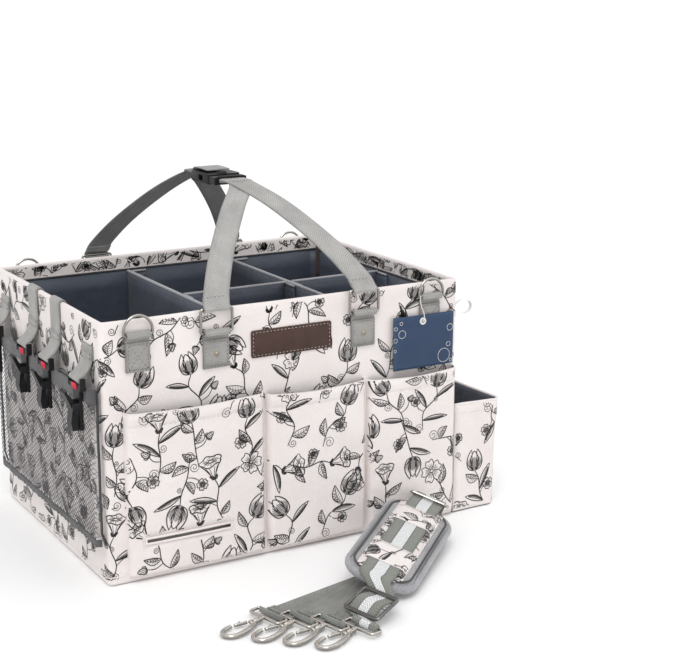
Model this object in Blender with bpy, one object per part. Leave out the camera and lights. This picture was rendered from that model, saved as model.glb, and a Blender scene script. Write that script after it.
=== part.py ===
"""Soft-sided cleaning caddy with clipped carry handles, pockets, dividers and a loose shoulder strap.

Metres, +Z up. The origin is the centre of the base's underside, +X runs to the right along the
front, and the front faces -Y.
"""

import math

import bmesh
import bpy
from mathutils import Matrix, Vector

GAP = 0.0003

# Body: fabric over board.
LENGTH = 0.400
WIDTH = 0.300
HEIGHT = 0.262
WALL = 0.005
BASE_THICK = 0.005
CORNER_RADIUS = 0.0045
LINING_TOP = 0.245
LINING_THICK = 0.0008

# Pockets.
POCKET_SHEET = 0.0015
FRONT_POCKET_DEPTH = 0.0070
FRONT_POCKET_FOOT = 0.006
FRONT_POCKETS = (
    ("front_pocket_left", -0.180, -0.0320, 0.173),
    ("front_pocket_middle", -0.029, 0.0855, 0.170),
    ("front_pocket_right", 0.0885, 0.1990, 0.168),
)
SLOT_X = (-0.163, -0.072)
SLOT_Z = (0.0400, 0.0455)
SIDE_POCKET_OUT = 0.057
SIDE_POCKET_HALF = 0.1485
SIDE_POCKET_TOP = 0.122
SIDE_POCKET_SHEET = 0.0025
BACK_POCKET_HALF = 0.146
BACK_POCKET_TOP = 0.157
BACK_POCKET_DEPTH = 0.0068
MESH_POCKET_HALF = 0.146
MESH_POCKET_FOOT = 0.042
MESH_POCKET_DEPTH = 0.0075
BAND_Z = (0.183, 0.198)
BAND_PROUD = 0.0012

# Dividers.
DIVIDER_THICK = 0.005
DIVIDER_TOP = 0.244
DIVIDER_FOOT = 0.0075
DIVIDER_GAP = 0.0006
FLAP_LENGTH = 0.020
FLAP_THICK = 0.0025
CROSS_LEFT_X = -0.050
CROSS_RIGHT_X = 0.079
MIDDLE_Y = 0.000

# Webbing and wire.
WEB_THICK = 0.0018
WEB_WIDTH = 0.028
D_TAB_WIDTH = 0.025
WIRE_RADIUS = 0.0014
WIRE_SIDES = 8
BAR_CLEARANCE = 0.00035
BAR_OUT = 0.0045
WRAP_RADIUS = WIRE_RADIUS + BAR_CLEARANCE + WEB_THICK / 2

# Handle tabs, rings and D-rings on the front and the back.
HANDLE_X = 0.0825
HANDLE_BAR_Z = 0.2400
HANDLE_TAB_FOOT = 0.204
RING_HALF_WIDTH = 0.0167
RING_HEIGHT = 0.0235
RING_CORNER = 0.0024
D_RING_X = 0.1635
D_BAR_Z = 0.2475
D_HALF_WIDTH = 0.0146
D_STRAIGHT = 0.0040
FRONT_D_TAB_FOOT = 0.211
BACK_D_TAB_FOOT = 0.120

# Handle straps and their buckle.
APEX_X = 0.006
APEX_Z = 0.3615
FRONT_STRAP_END = 0.0105
REAR_STRAP_END = 0.0525
STRAP_LAP = 0.024
LAP_STEP = 0.0016
BUCKLE_HALF_WIDTH = 0.0185
BUCKLE_HALF_THICK = 0.0052
PLUG_Y = (-0.0100, 0.0035)
PLUG_HALF_THICK = 0.0040
PRONG_TIP_Y = 0.030
PRONG_HALF_THICK = 0.0022
PRONG_HALF_WIDTH = 0.0020
PRONG_X = 0.0120
SOCKET_Y = (0.0045, 0.0500)
SOCKET_CAVITY_Y = 0.0340
SOCKET_CAVITY_HALF = 0.0152
SOCKET_CAVITY_HALF_THICK = 0.0032
SOCKET_WINDOW_Y = (0.0200, 0.0300)

# Squeeze clips on the left side.
CLIP_Y = (0.120, 0.030, -0.035, -0.120)
CLIP_STRAP_TOPS = (0.236, 0.2615, 0.2615, 0.236)
CLIP_AXIS_OUT = 0.0130
CLIP_AXIS_Z = 0.2045
CLIP_BAR_RADIUS = 0.0010
CLIP_BAR_HALF = 0.0165
CLIP_STRAP_WIDTH = 0.027
CHEEK_THICK = 0.0022
BRIDGE_Z = (-0.0095, -0.0050)
CLIP_HALF_WIDTH = 0.0085
CLIP_PLATE_X = (-0.0010, 0.0020)
CLIP_PLATE_END = -0.050
EAR_X = -0.0080
LEVER_AXIS = (-0.0052, -0.0260)
LEVER_PIN_RADIUS = 0.0009
LEVER_HALF_WIDTH = 0.0060
LEVER_OUTLINE = (
    (-0.0150, -0.0115),
    (-0.0128, -0.0105),
    (-0.0034, -0.0240),
    (-0.0034, -0.0340),
    (-0.0015, -0.0500),
    (-0.0078, -0.0500),
    (-0.0092, -0.0420),
    (-0.0075, -0.0290),
)

# Shoulder strap, lying in front.
PAD_CENTRE = (0.0685, -0.2480, 0.0245)
PAD_LENGTH = 0.172
PAD_WIDTH = 0.075
PAD_THICK = 0.014
PAD_CORNER = 0.026
PAD_EDGE = 0.005
PAD_YAW = math.radians(41)
PAD_PITCH = math.radians(4)
PAD_ROLL = math.radians(18)
STRAP_WIDTH = 0.034
STRAP_THICK = 0.0015
STRAP_WIRE = 0.0015
STRAP_WRAP = STRAP_WIRE + BAR_CLEARANCE + STRAP_THICK / 2
STRAP_RING_HALF = 0.0195
STRAP_RING_DEPTH = 0.0117
FAR_RING_DEPTH = 0.018
STRAP_RING_CORNER = 0.0028
FAR_RING_X = 0.1125
FAR_RING_RISE = 0.0100
SLIDER_CENTRE = (-0.0165, -0.3330, 0.0140)
SLIDER_HALF = (0.0145, 0.0210)
SLIDER_PITCH = math.radians(22)

# Snap hooks: the (along, across) start of each ring's outer bar, in the fan's own axes.
FAN_ORIGIN = (-0.1120, -0.2745, 0.0)
FAN_YAW = math.radians(14)
RING_HEIGHT_OFF_FLOOR = 0.0048
HOOK_RINGS = ((0.000, 0.000), (0.0252, 0.015), (0.0504, 0.030), (0.0756, 0.045))
FAN_JOIN = (0.022, 0.138)
LEG_HEIGHT = 0.0012
POST_RADIUS = 0.0013
POST_LENGTH = 0.0085
BARREL_RADIUS = 0.0029
BARREL_BORE = 0.0017
BARREL_START = 0.0030
BARREL_LENGTH = 0.0090
HOOK_WIRE = 0.0021
HOOK_LENGTH = 0.036
HOOK_HALF_WIDTH = 0.0088
GATE_WIRE = 0.0014

FINISHES = {
    "fabric": ((0.90, 0.83, 0.81, 1), 0.75, 0.0),
    "lining": ((0.05, 0.06, 0.09, 1), 0.55, 0.0),
    "webbing": ((0.36, 0.36, 0.36, 1), 0.85, 0.0),
    "net": ((0.22, 0.21, 0.22, 1), 0.80, 0.0),
    "steel": ((0.72, 0.69, 0.64, 1), 0.25, 1.0),
    "dark_steel": ((0.16, 0.16, 0.17, 1), 0.30, 1.0),
    "plastic": ((0.02, 0.02, 0.02, 1), 0.40, 0.0),
    "pad": ((0.45, 0.45, 0.48, 1), 0.90, 0.0),
}

X, Y, Z = Vector((1, 0, 0)), Vector((0, 1, 0)), Vector((0, 0, 1))


def clear_scene():
    for obj in list(bpy.data.objects):
        bpy.data.objects.remove(obj, do_unlink=True)


def material(finish):
    made = bpy.data.materials.get(finish)
    if made:
        return made
    colour, roughness, metallic = FINISHES[finish]
    made = bpy.data.materials.new(finish)
    made.use_nodes = True
    shader = made.node_tree.nodes["Principled BSDF"]
    shader.inputs["Base Color"].default_value = colour
    shader.inputs["Roughness"].default_value = roughness
    shader.inputs["Metallic"].default_value = metallic
    made.diffuse_color = colour
    return made


def piece(name, shape, finish, origin=(0, 0, 0), smooth=False):
    """Turns a bmesh in world coordinates into a named object whose origin is at origin."""
    bmesh.ops.translate(shape, verts=shape.verts, vec=-Vector(origin))
    bmesh.ops.recalc_face_normals(shape, faces=shape.faces)
    mesh = bpy.data.meshes.new(name)
    shape.to_mesh(mesh)
    shape.free()
    if smooth:
        mesh.shade_smooth()
        mesh.set_sharp_from_angle(angle=math.radians(40))
    mesh.materials.append(material(finish))
    obj = bpy.data.objects.new(name, mesh)
    obj.location = origin
    bpy.context.collection.objects.link(obj)
    return obj


def helper(shape):
    bmesh.ops.recalc_face_normals(shape, faces=shape.faces)
    mesh = bpy.data.meshes.new("helper")
    shape.to_mesh(mesh)
    shape.free()
    obj = bpy.data.objects.new("helper", mesh)
    bpy.context.collection.objects.link(obj)
    return obj


def carved(base, joins=(), cuts=()):
    """The base with the joins added and the cuts taken away, as a new bmesh."""
    target = helper(base)
    tools = []
    for operation, shapes in (("UNION", joins), ("DIFFERENCE", cuts)):
        for shape in shapes:
            tool = helper(shape)
            modifier = target.modifiers.new(operation, "BOOLEAN")
            modifier.operation = operation
            modifier.object = tool
            tools.append(tool)
    bpy.context.view_layer.update()
    graph = bpy.context.evaluated_depsgraph_get()
    mesh = bpy.data.meshes.new_from_object(target.evaluated_get(graph))
    result = bmesh.new()
    result.from_mesh(mesh)
    bpy.data.meshes.remove(mesh)
    for obj in (target, *tools):
        bpy.data.objects.remove(obj, do_unlink=True)
    return result


def box(low, high):
    shape = bmesh.new()
    low, high = Vector(low), Vector(high)
    scale = Matrix.Diagonal((*(high - low), 1))
    bmesh.ops.create_cube(shape, size=1, matrix=Matrix.Translation((low + high) / 2) @ scale)
    return shape


def cylinder(start, end, radius, sides=12):
    start, end = Vector(start), Vector(end)
    turn = Z.rotation_difference(end - start).to_matrix().to_4x4()
    shape = bmesh.new()
    bmesh.ops.create_cone(
        shape,
        cap_ends=True,
        segments=sides,
        radius1=radius,
        radius2=radius,
        depth=(end - start).length,
        matrix=Matrix.Translation((start + end) / 2) @ turn,
    )
    return shape


def prism(outline, start, end):
    """The flat outline of world points, pushed from offset start to offset end."""
    shape = bmesh.new()
    face = shape.faces.new([shape.verts.new(Vector(point) + Vector(start)) for point in outline])
    pushed = bmesh.ops.extrude_face_region(shape, geom=[face])
    moved = [item for item in pushed["geom"] if isinstance(item, bmesh.types.BMVert)]
    bmesh.ops.translate(shape, verts=moved, vec=Vector(end) - Vector(start))
    return shape


def rounded_upright(shape, radius, where):
    """Rounds the upright edges whose middle passes the where test."""
    edges = []
    for edge in shape.edges:
        first, last = (vert.co for vert in edge.verts)
        if abs(first.x - last.x) + abs(first.y - last.y) < 1e-6 and where((first + last) / 2):
            edges.append(edge)
    bmesh.ops.bevel(shape, geom=edges, offset=radius, segments=3, affect="EDGES", profile=0.5)
    return shape


def smooth_path(points, steps):
    """A Catmull-Rom curve through the points, with steps pieces between neighbours."""
    points = [Vector(point) for point in points]
    padded = [2 * points[0] - points[1], *points, 2 * points[-1] - points[-2]]
    path = []
    for p0, p1, p2, p3 in zip(padded, padded[1:], padded[2:], padded[3:]):
        for step in range(steps):
            t = step / steps
            path.append(
                0.5
                * (
                    2 * p1
                    + (p2 - p0) * t
                    + (2 * p0 - 5 * p1 + 4 * p2 - p3) * t * t
                    + (3 * p1 - p0 - 3 * p2 + p3) * t**3
                )
            )
    path.append(points[-1])
    return path


def ribbon(path, sides, width, thickness):
    """A flat band along the path; sides gives the direction across it at each point."""
    shape = bmesh.new()
    rows = []
    last = len(path) - 1
    for index, (point, side) in enumerate(zip(path, sides)):
        ahead = path[min(index + 1, last)] - path[max(index - 1, 0)]
        across = side.normalized() * width / 2
        up = ahead.cross(side).normalized() * thickness / 2
        corners = (point - across - up, point + across - up, point + across + up, point - across + up)
        rows.append([shape.verts.new(corner) for corner in corners])
    for row, following in zip(rows, rows[1:]):
        for i in range(4):
            j = (i + 1) % 4
            shape.faces.new((row[i], row[j], following[j], following[i]))
    shape.faces.new(rows[0][::-1])
    shape.faces.new(rows[-1])
    return shape


def wrap(centre, out, up, radius, first, last, count):
    """Points on an arc round a bar: angle 0 is out and 90 is up, in degrees."""
    points = []
    for step in range(count + 1):
        angle = math.radians(first + (last - first) * step / count)
        points.append(Vector(centre) + (out * math.cos(angle) + up * math.sin(angle)) * radius)
    return points


def rounded_loop(corners, radius, steps=3):
    """A closed outline whose corners are replaced by arcs."""
    points = []
    count = len(corners)
    for index, corner in enumerate(corners):
        into = (corners[index - 1] - corner).normalized()
        away = (corners[(index + 1) % count] - corner).normalized()
        half = into.angle(away) / 2
        centre = corner + (into + away).normalized() * radius / math.sin(half)
        start = corner + into * radius / math.tan(half) - centre
        end = corner + away * radius / math.tan(half) - centre
        for step in range(steps + 1):
            points.append(centre + start.slerp(end, step / steps) * start.length)
    return points


def wire(points, normal, radius, closed=True, sides=WIRE_SIDES):
    """Round wire along a flat path, closed on itself or capped at both ends."""
    shape = bmesh.new()
    rows = []
    count = len(points)
    for index, point in enumerate(points):
        before = point - points[index - 1] if closed or index else points[1] - points[0]
        follows = points[(index + 1) % count] - point if closed or index < count - 1 else before
        ahead = (before.normalized() + follows.normalized()).normalized()
        out = ahead.cross(normal) / max(ahead.dot(follows.normalized()), 0.5)
        angles = [2 * math.pi * side / sides for side in range(sides)]
        ring = [point + (out * math.cos(a) + normal * math.sin(a)) * radius for a in angles]
        rows.append([shape.verts.new(spot) for spot in ring])
    pairs = list(zip(rows, rows[1:])) + ([(rows[-1], rows[0])] if closed else [])
    for row, following in pairs:
        for i in range(sides):
            j = (i + 1) % sides
            shape.faces.new((row[i], row[j], following[j], following[i]))
    if not closed:
        shape.faces.new(rows[0][::-1])
        shape.faces.new(rows[-1])
    return shape


def make_walls():
    half_x, half_y = LENGTH / 2, WIDTH / 2
    foot = BASE_THICK + GAP
    base = box((-half_x, -half_y, 0), (half_x, half_y, BASE_THICK))
    piece("base_board", rounded_upright(base, CORNER_RADIUS, lambda spot: True), "fabric")
    for name, sign in (("front_panel", -1), ("back_panel", 1)):
        ends = sorted((sign * half_y, sign * (half_y - WALL)))
        wall = box((-half_x, ends[0], foot), (half_x, ends[1], HEIGHT))
        outer = rounded_upright(wall, CORNER_RADIUS, lambda spot: spot.y * sign > half_y - WALL / 2)
        piece(name, outer, "fabric")
    inner_y = half_y - WALL - GAP
    piece("right_panel", box((half_x - WALL, -inner_y, foot), (half_x, inner_y, HEIGHT)), "fabric")
    left = box((-half_x, -inner_y, foot), (-half_x + WALL, inner_y, HEIGHT))
    straps = [clip_strap(y, top) for y, top in zip(CLIP_Y, CLIP_STRAP_TOPS)]
    piece("left_panel", carved(left, joins=straps), "fabric")


def clip_strap(y, top):
    """A strap down the wall that turns out and wraps the clip's bar; it sinks 0.3 mm into the wall."""
    wall_x = -LENGTH / 2 - WEB_THICK / 2 + GAP
    bar = Vector((-LENGTH / 2 - CLIP_AXIS_OUT, y, CLIP_AXIS_Z))
    radius = CLIP_BAR_RADIUS + BAR_CLEARANCE + WEB_THICK / 2
    path = [Vector((wall_x, y, top)), Vector((wall_x, y, CLIP_AXIS_Z + 0.014))]
    path.append(Vector((wall_x - 0.0045, y, CLIP_AXIS_Z + 0.0060)))
    path += wrap(bar, -X, Z, radius, 110, -150, 9)
    return ribbon(path, [Y] * len(path), CLIP_STRAP_WIDTH, WEB_THICK)


def make_lining():
    half_x, half_y = LENGTH / 2 - WALL - GAP, WIDTH / 2 - WALL - GAP
    floor = BASE_THICK + GAP
    bag = box((-half_x, -half_y, floor), (half_x, half_y, LINING_TOP))
    inner_x, inner_y = half_x - LINING_THICK, half_y - LINING_THICK
    hollow = box((-inner_x, -inner_y, floor + LINING_THICK), (inner_x, inner_y, HEIGHT))
    piece("lining", carved(bag, cuts=[hollow]), "lining")


def make_front_pockets():
    back = -WIDTH / 2 - GAP
    front = back - FRONT_POCKET_DEPTH
    for name, left, right, top in FRONT_POCKETS:
        shell = box((left, front, FRONT_POCKET_FOOT), (right, back, top))
        low = (left + POCKET_SHEET, front + POCKET_SHEET, FRONT_POCKET_FOOT + POCKET_SHEET)
        cuts = [box(low, (right - POCKET_SHEET, back + WALL, top + WALL))]
        if left < SLOT_X[0] < right:
            cuts.append(box((SLOT_X[0], front - WALL, SLOT_Z[0]), (SLOT_X[1], back - WALL, SLOT_Z[1])))
        piece(name, carved(shell, cuts=cuts), "fabric")


def make_side_pocket():
    left = LENGTH / 2 + GAP
    right = left + SIDE_POCKET_OUT
    sheet = SIDE_POCKET_SHEET
    shell = box((left, -SIDE_POCKET_HALF, 0), (right, SIDE_POCKET_HALF, SIDE_POCKET_TOP))
    rounded_upright(shell, CORNER_RADIUS, lambda spot: spot.x > left + WALL)
    inner = SIDE_POCKET_HALF - sheet
    hollow = box((left - WALL, -inner, sheet), (right - sheet, inner, SIDE_POCKET_TOP + WALL))
    piece("side_pocket", carved(shell, cuts=[hollow]), "fabric")


def make_back_pocket():
    front = WIDTH / 2 + GAP
    back = front + BACK_POCKET_DEPTH
    half, sheet = BACK_POCKET_HALF, POCKET_SHEET
    shell = box((-half, front, FRONT_POCKET_FOOT), (half, back, BACK_POCKET_TOP))
    low = (-half + sheet, front - WALL, FRONT_POCKET_FOOT + sheet)
    hollow = box(low, (half - sheet, back - sheet, BACK_POCKET_TOP + WALL))
    piece("back_pocket", carved(shell, cuts=[hollow]), "fabric")


def make_mesh_pocket():
    right = -LENGTH / 2 - GAP
    left = right - MESH_POCKET_DEPTH
    half, sheet = MESH_POCKET_HALF, POCKET_SHEET
    shell = box((left, -half, MESH_POCKET_FOOT), (right, half, BAND_Z[1]))
    band = box((left - BAND_PROUD, -half, BAND_Z[0]), (left + sheet / 2, half, BAND_Z[1]))
    low = (left + sheet, -half + sheet, MESH_POCKET_FOOT + sheet)
    hollow = box(low, (right + WALL, half - sheet, BAND_Z[1] + WALL))
    piece("mesh_pocket", carved(shell, joins=[band], cuts=[hollow]), "net")


def make_dividers():
    inner_x = LENGTH / 2 - WALL - GAP - LINING_THICK - DIVIDER_GAP
    inner_y = WIDTH / 2 - WALL - GAP - LINING_THICK - DIVIDER_GAP
    half = DIVIDER_THICK / 2
    low, high = DIVIDER_FOOT, DIVIDER_TOP
    for name, x in (("cross_divider_left", CROSS_LEFT_X), ("cross_divider_right", CROSS_RIGHT_X)):
        board = box((x - half, -inner_y, low), (x + half, inner_y, high))
        flaps = []
        for side in (-1, 1):
            ends = sorted((side * inner_y, side * (inner_y - FLAP_THICK)))
            flaps.append(box((x, ends[0], low), (x + half + FLAP_LENGTH, ends[1], high)))
        piece(name, carved(board, joins=flaps), "lining")
    spans = (
        ("middle_divider", CROSS_LEFT_X + half + DIVIDER_GAP, CROSS_RIGHT_X - half - DIVIDER_GAP),
        ("right_divider", CROSS_RIGHT_X + half + DIVIDER_GAP, inner_x),
    )
    for name, left, right in spans:
        board = box((left, MIDDLE_Y - half, low), (right, MIDDLE_Y + half, high))
        flaps = []
        for start, end in ((left, left + FLAP_THICK), (right - FLAP_THICK, right)):
            flaps.append(box((start, MIDDLE_Y - half - FLAP_LENGTH, low), (end, MIDDLE_Y, high)))
        piece(name, carved(board, joins=flaps), "lining")


def tab(name, x, side, foot, bar_z, width):
    """Webbing sewn to the wall that loops over a ring's bar; side is -1 in front, 1 behind."""
    out = Y * side
    bar = Vector((x, side * (WIDTH / 2 + BAR_OUT), bar_z))
    line = side * (WIDTH / 2 + GAP + WEB_THICK / 2)
    path = [Vector((x, line, foot)), Vector((x, line, bar_z - 0.005))]
    path += wrap(bar, out, Z, WRAP_RADIUS, 180, -70, 10)
    piece(name, ribbon(path, [X] * len(path), width, WEB_THICK), "webbing")


def d_ring(name, x, side):
    origin = Vector((x, side * (WIDTH / 2 + BAR_OUT), D_BAR_Z))
    corners = rounded_loop(
        [
            Vector((D_HALF_WIDTH, 0, 2 * D_STRAIGHT)),
            Vector((D_HALF_WIDTH, 0, 0)),
            Vector((-D_HALF_WIDTH, 0, 0)),
            Vector((-D_HALF_WIDTH, 0, 2 * D_STRAIGHT)),
        ],
        0.0018,
    )
    bottom = [point for point in corners if point.z < D_STRAIGHT]
    arc = wrap((0, 0, D_STRAIGHT), X, Z, D_HALF_WIDTH, 180, 0, 12)
    points = [origin + point for point in bottom + arc]
    piece(name, wire(points, Y, WIRE_RADIUS), "steel", origin, smooth=True)


def handle_ring(name, x, side, hinge):
    low, high = HANDLE_BAR_Z, HANDLE_BAR_Z + RING_HEIGHT
    y = side * (WIDTH / 2 + BAR_OUT)
    spots = ((x + RING_HALF_WIDTH, low), (x - RING_HALF_WIDTH, low))
    spots += ((x - RING_HALF_WIDTH, high), (x + RING_HALF_WIDTH, high))
    corners = [Vector((spot_x, y, spot_z)) for spot_x, spot_z in spots]
    shape = wire(rounded_loop(corners, RING_CORNER), Y, WIRE_RADIUS)
    piece(name, shape, "steel", hinge, smooth=True)


def handle_leg(sign, side, end_y, lift):
    """One leg of a handle strap, from its ring up to the lap at the buckle."""
    bar = Vector((sign * HANDLE_X, side * (WIDTH / 2 + BAR_OUT), HANDLE_BAR_Z + RING_HEIGHT))
    path = wrap(bar, Y * side, Z, WRAP_RADIUS, -150, 70, 8)
    top = APEX_Z + lift
    lap_y = end_y + side * STRAP_LAP
    run = lap_y - bar.y
    through = [
        path[-1],
        Vector((bar.x + (APEX_X - bar.x) * 0.06, bar.y + run * 0.08, bar.z + 0.016)),
        Vector((bar.x + (APEX_X - bar.x) * 0.30, bar.y + run * 0.34, bar.z + (top - bar.z) * 0.46)),
        Vector((bar.x + (APEX_X - bar.x) * 0.68, bar.y + run * 0.70, bar.z + (top - bar.z) * 0.80)),
        Vector((APEX_X, lap_y, top)),
        Vector((APEX_X, end_y, top)),
    ]
    path = path[:-1] + smooth_path(through, 4)
    return ribbon(path, [X] * len(path), WEB_WIDTH, WEB_THICK)


def make_handle(name, side, end_y, hinge):
    legs = [handle_leg(sign, side, end_y, sign * LAP_STEP / 2) for sign in (-1, 1)]
    piece(name, carved(legs[0], joins=[legs[1]]), "webbing", hinge)


def make_plug(hinge):
    low_y, high_y = PLUG_Y
    half, thick = BUCKLE_HALF_WIDTH, PLUG_HALF_THICK
    low = (APEX_X - half, low_y, APEX_Z - thick)
    body = box(low, (APEX_X + half, high_y, APEX_Z + thick))
    prongs = []
    for offset in (-PRONG_X, 0, PRONG_X):
        left, right = APEX_X + offset - PRONG_HALF_WIDTH, APEX_X + offset + PRONG_HALF_WIDTH
        tip = (right, PRONG_TIP_Y, APEX_Z + PRONG_HALF_THICK)
        prongs.append(box((left, high_y - WALL, APEX_Z - PRONG_HALF_THICK), tip))
    piece("buckle_plug", carved(body, joins=prongs), "plastic", hinge)


def make_socket(hinge):
    low_y, high_y = SOCKET_Y
    half, thick = BUCKLE_HALF_WIDTH, BUCKLE_HALF_THICK
    body = box((APEX_X - half, low_y, APEX_Z - thick), (APEX_X + half, high_y, APEX_Z + thick))
    rounded_upright(body, 0.003, lambda spot: True)
    cavity = SOCKET_CAVITY_HALF
    inside = SOCKET_CAVITY_HALF_THICK
    hollow = box(
        (APEX_X - cavity, low_y - WALL, APEX_Z - inside),
        (APEX_X + cavity, SOCKET_CAVITY_Y, APEX_Z + inside),
    )
    windows = box(
        (APEX_X - 2 * half, SOCKET_WINDOW_Y[0], APEX_Z - inside + GAP),
        (APEX_X + 2 * half, SOCKET_WINDOW_Y[1], APEX_Z + inside - GAP),
    )
    piece("buckle_socket", carved(body, cuts=[hollow, windows]), "plastic", hinge)


def make_carry_hardware():
    for place, side in (("front", -1), ("back", 1)):
        hinge = (0, side * (WIDTH / 2 + BAR_OUT), HANDLE_BAR_Z)
        d_foot = FRONT_D_TAB_FOOT if side < 0 else BACK_D_TAB_FOOT
        for hand, sign in (("left", -1), ("right", 1)):
            spot = f"{place}_{hand}"
            tab(f"handle_tab_{spot}", sign * HANDLE_X, side, HANDLE_TAB_FOOT, HANDLE_BAR_Z, WEB_WIDTH)
            handle_ring(f"handle_ring_{spot}", sign * HANDLE_X, side, hinge)
            tab(f"d_ring_tab_{spot}", sign * D_RING_X, side, d_foot, D_BAR_Z, D_TAB_WIDTH)
            d_ring(f"d_ring_{spot}", sign * D_RING_X, side)
        end_y = -FRONT_STRAP_END if side < 0 else REAR_STRAP_END
        make_handle(f"{place}_handle_strap", side, end_y, hinge)
        if side < 0:
            make_plug(hinge)
        else:
            make_socket(hinge)


def clip_body(axis):
    """Bar, cheeks, bridge and back plate of a squeeze clip, round the pivot at axis."""
    bar = cylinder(axis - Y * CLIP_BAR_HALF, axis + Y * CLIP_BAR_HALF, CLIP_BAR_RADIUS)
    half = CLIP_BAR_HALF
    joins = []
    for side in (-1, 1):
        ends = sorted((side * half, side * (half - CHEEK_THICK)))
        low = axis + Vector((-0.0028, ends[0], BRIDGE_Z[0]))
        joins.append(box(low, axis + Vector((0.0028, ends[1], 0.0028))))
        ear = sorted((side * CLIP_HALF_WIDTH, side * (LEVER_HALF_WIDTH + GAP)))
        low = axis + Vector((EAR_X, ear[0], LEVER_AXIS[1] - 0.0035))
        joins.append(box(low, axis + Vector((0, ear[1], LEVER_AXIS[1] + 0.0035))))
    low = axis + Vector((-0.0024, -half, BRIDGE_Z[0]))
    joins.append(box(low, axis + Vector((0.0024, half, BRIDGE_Z[1]))))
    low = axis + Vector((CLIP_PLATE_X[0], -CLIP_HALF_WIDTH, CLIP_PLATE_END))
    top = axis + Vector((CLIP_PLATE_X[1], CLIP_HALF_WIDTH, BRIDGE_Z[0] + 0.001))
    joins.append(box(low, top))
    pin = axis + Vector((LEVER_AXIS[0], 0, LEVER_AXIS[1]))
    joins.append(cylinder(pin - Y * CLIP_HALF_WIDTH, pin + Y * CLIP_HALF_WIDTH, LEVER_PIN_RADIUS))
    return carved(bar, joins=joins)


def clip_lever(axis):
    outline = [axis + Vector((x, 0, z)) for x, z in LEVER_OUTLINE]
    shape = prism(outline, -Y * LEVER_HALF_WIDTH, Y * LEVER_HALF_WIDTH)
    pin = axis + Vector((LEVER_AXIS[0], 0, LEVER_AXIS[1]))
    bore = cylinder(pin - Y * WALL * 2, pin + Y * WALL * 2, LEVER_PIN_RADIUS + BAR_CLEARANCE)
    return carved(shape, cuts=[bore])


def make_clips():
    for number, y in enumerate(CLIP_Y, 1):
        axis = Vector((-LENGTH / 2 - CLIP_AXIS_OUT, y, CLIP_AXIS_Z))
        piece(f"clip_body_{number}", clip_body(axis), "plastic", axis)
        pivot = axis + Vector((LEVER_AXIS[0], 0, LEVER_AXIS[1]))
        piece(f"clip_lever_{number}", clip_lever(axis), "plastic", pivot)


def pad_frame():
    turn = Matrix.Rotation(PAD_YAW, 4, "Z") @ Matrix.Rotation(-PAD_PITCH, 4, "Y")
    return Matrix.Translation(PAD_CENTRE) @ turn @ Matrix.Rotation(PAD_ROLL, 4, "X")


def fan_frame():
    """Across the rings' bars is +X here, and along the bars is -Y, towards the viewer's side."""
    return Matrix.Translation(FAN_ORIGIN) @ Matrix.Rotation(FAN_YAW, 4, "Z")


def slider_frame():
    turn = Matrix.Rotation(FAN_YAW, 4, "Z") @ Matrix.Rotation(-SLIDER_PITCH, 4, "Y")
    return Matrix.Translation(SLIDER_CENTRE) @ turn


def make_pad(frame):
    half_x, half_y = PAD_LENGTH / 2, PAD_WIDTH / 2
    spots = ((half_x, half_y), (-half_x, half_y), (-half_x, -half_y), (half_x, -half_y))
    outline = rounded_loop([Vector((x, y, 0)) for x, y in spots], PAD_CORNER, steps=5)
    shape = prism(outline, (0, 0, -PAD_THICK / 2), (0, 0, PAD_THICK / 2))
    rims = [edge for edge in shape.edges if abs(edge.verts[0].co.z - edge.verts[1].co.z) < 1e-6]
    bmesh.ops.bevel(shape, geom=rims, offset=PAD_EDGE, segments=3, affect="EDGES", profile=0.5)
    bmesh.ops.transform(shape, matrix=frame, verts=shape.verts)
    piece("shoulder_pad", shape, "pad", PAD_CENTRE, smooth=True)


def make_far_ring(frame):
    near_x = FAR_RING_X - FAR_RING_DEPTH
    spots = ((FAR_RING_X, -1, 0), (FAR_RING_X, 1, 0), (near_x, 1, FAR_RING_RISE), (near_x, -1, FAR_RING_RISE))
    corners = [frame @ Vector((x, side * STRAP_RING_HALF, z)) for x, side, z in spots]
    normal = (corners[1] - corners[0]).cross(corners[2] - corners[1]).normalized()
    shape = wire(rounded_loop(corners, STRAP_RING_CORNER), normal, STRAP_WIRE)
    piece("strap_slider_far", shape, "steel", PAD_CENTRE, smooth=True)


def make_near_slider(frame):
    half_x, half_y = SLIDER_HALF
    spots = ((half_x, -half_y), (half_x, half_y), (-half_x, half_y), (-half_x, -half_y))
    loop = wire(rounded_loop([Vector((x, y, 0)) for x, y in spots], STRAP_RING_CORNER), Z, STRAP_WIRE)
    bar = cylinder((0, -half_y, 0), (0, half_y, 0), STRAP_WIRE * 0.9, WIRE_SIDES)
    shape = carved(loop, joins=[bar])
    bmesh.ops.transform(shape, matrix=frame, verts=shape.verts)
    piece("strap_slider_near", shape, "dark_steel", PAD_CENTRE, smooth=True)


def fan_point(fan, along, across, z):
    return fan @ Vector((across, -along, z))


def strap_band(points, sides, steps):
    """A smooth path through the points, with the direction across it eased the same way."""
    return smooth_path(points, steps), smooth_path(sides, steps)


def inner_bar(fan, ring):
    """The middle of the bar that the strap wraps."""
    along, across = ring
    middle = along + STRAP_RING_HALF
    return fan_point(fan, middle, across + STRAP_RING_DEPTH, RING_HEIGHT_OFF_FLOOR)


def leg_to_ring(fan, ring, start):
    """A strap end along the floor to the inner bar of its ring, which it wraps from below."""
    away, side = fan.to_3x3() @ X, fan.to_3x3() @ Y
    bar = inner_bar(fan, ring)
    loop = wrap(bar, away, Z, STRAP_WRAP, -60, -250, 8)
    floor = Vector((bar.x, bar.y, LEG_HEIGHT)) + away * 0.0085
    path = [start, start.lerp(floor, 0.5), floor] + loop
    return ribbon(path, [side] * len(path), STRAP_WIDTH, STRAP_THICK)


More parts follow.
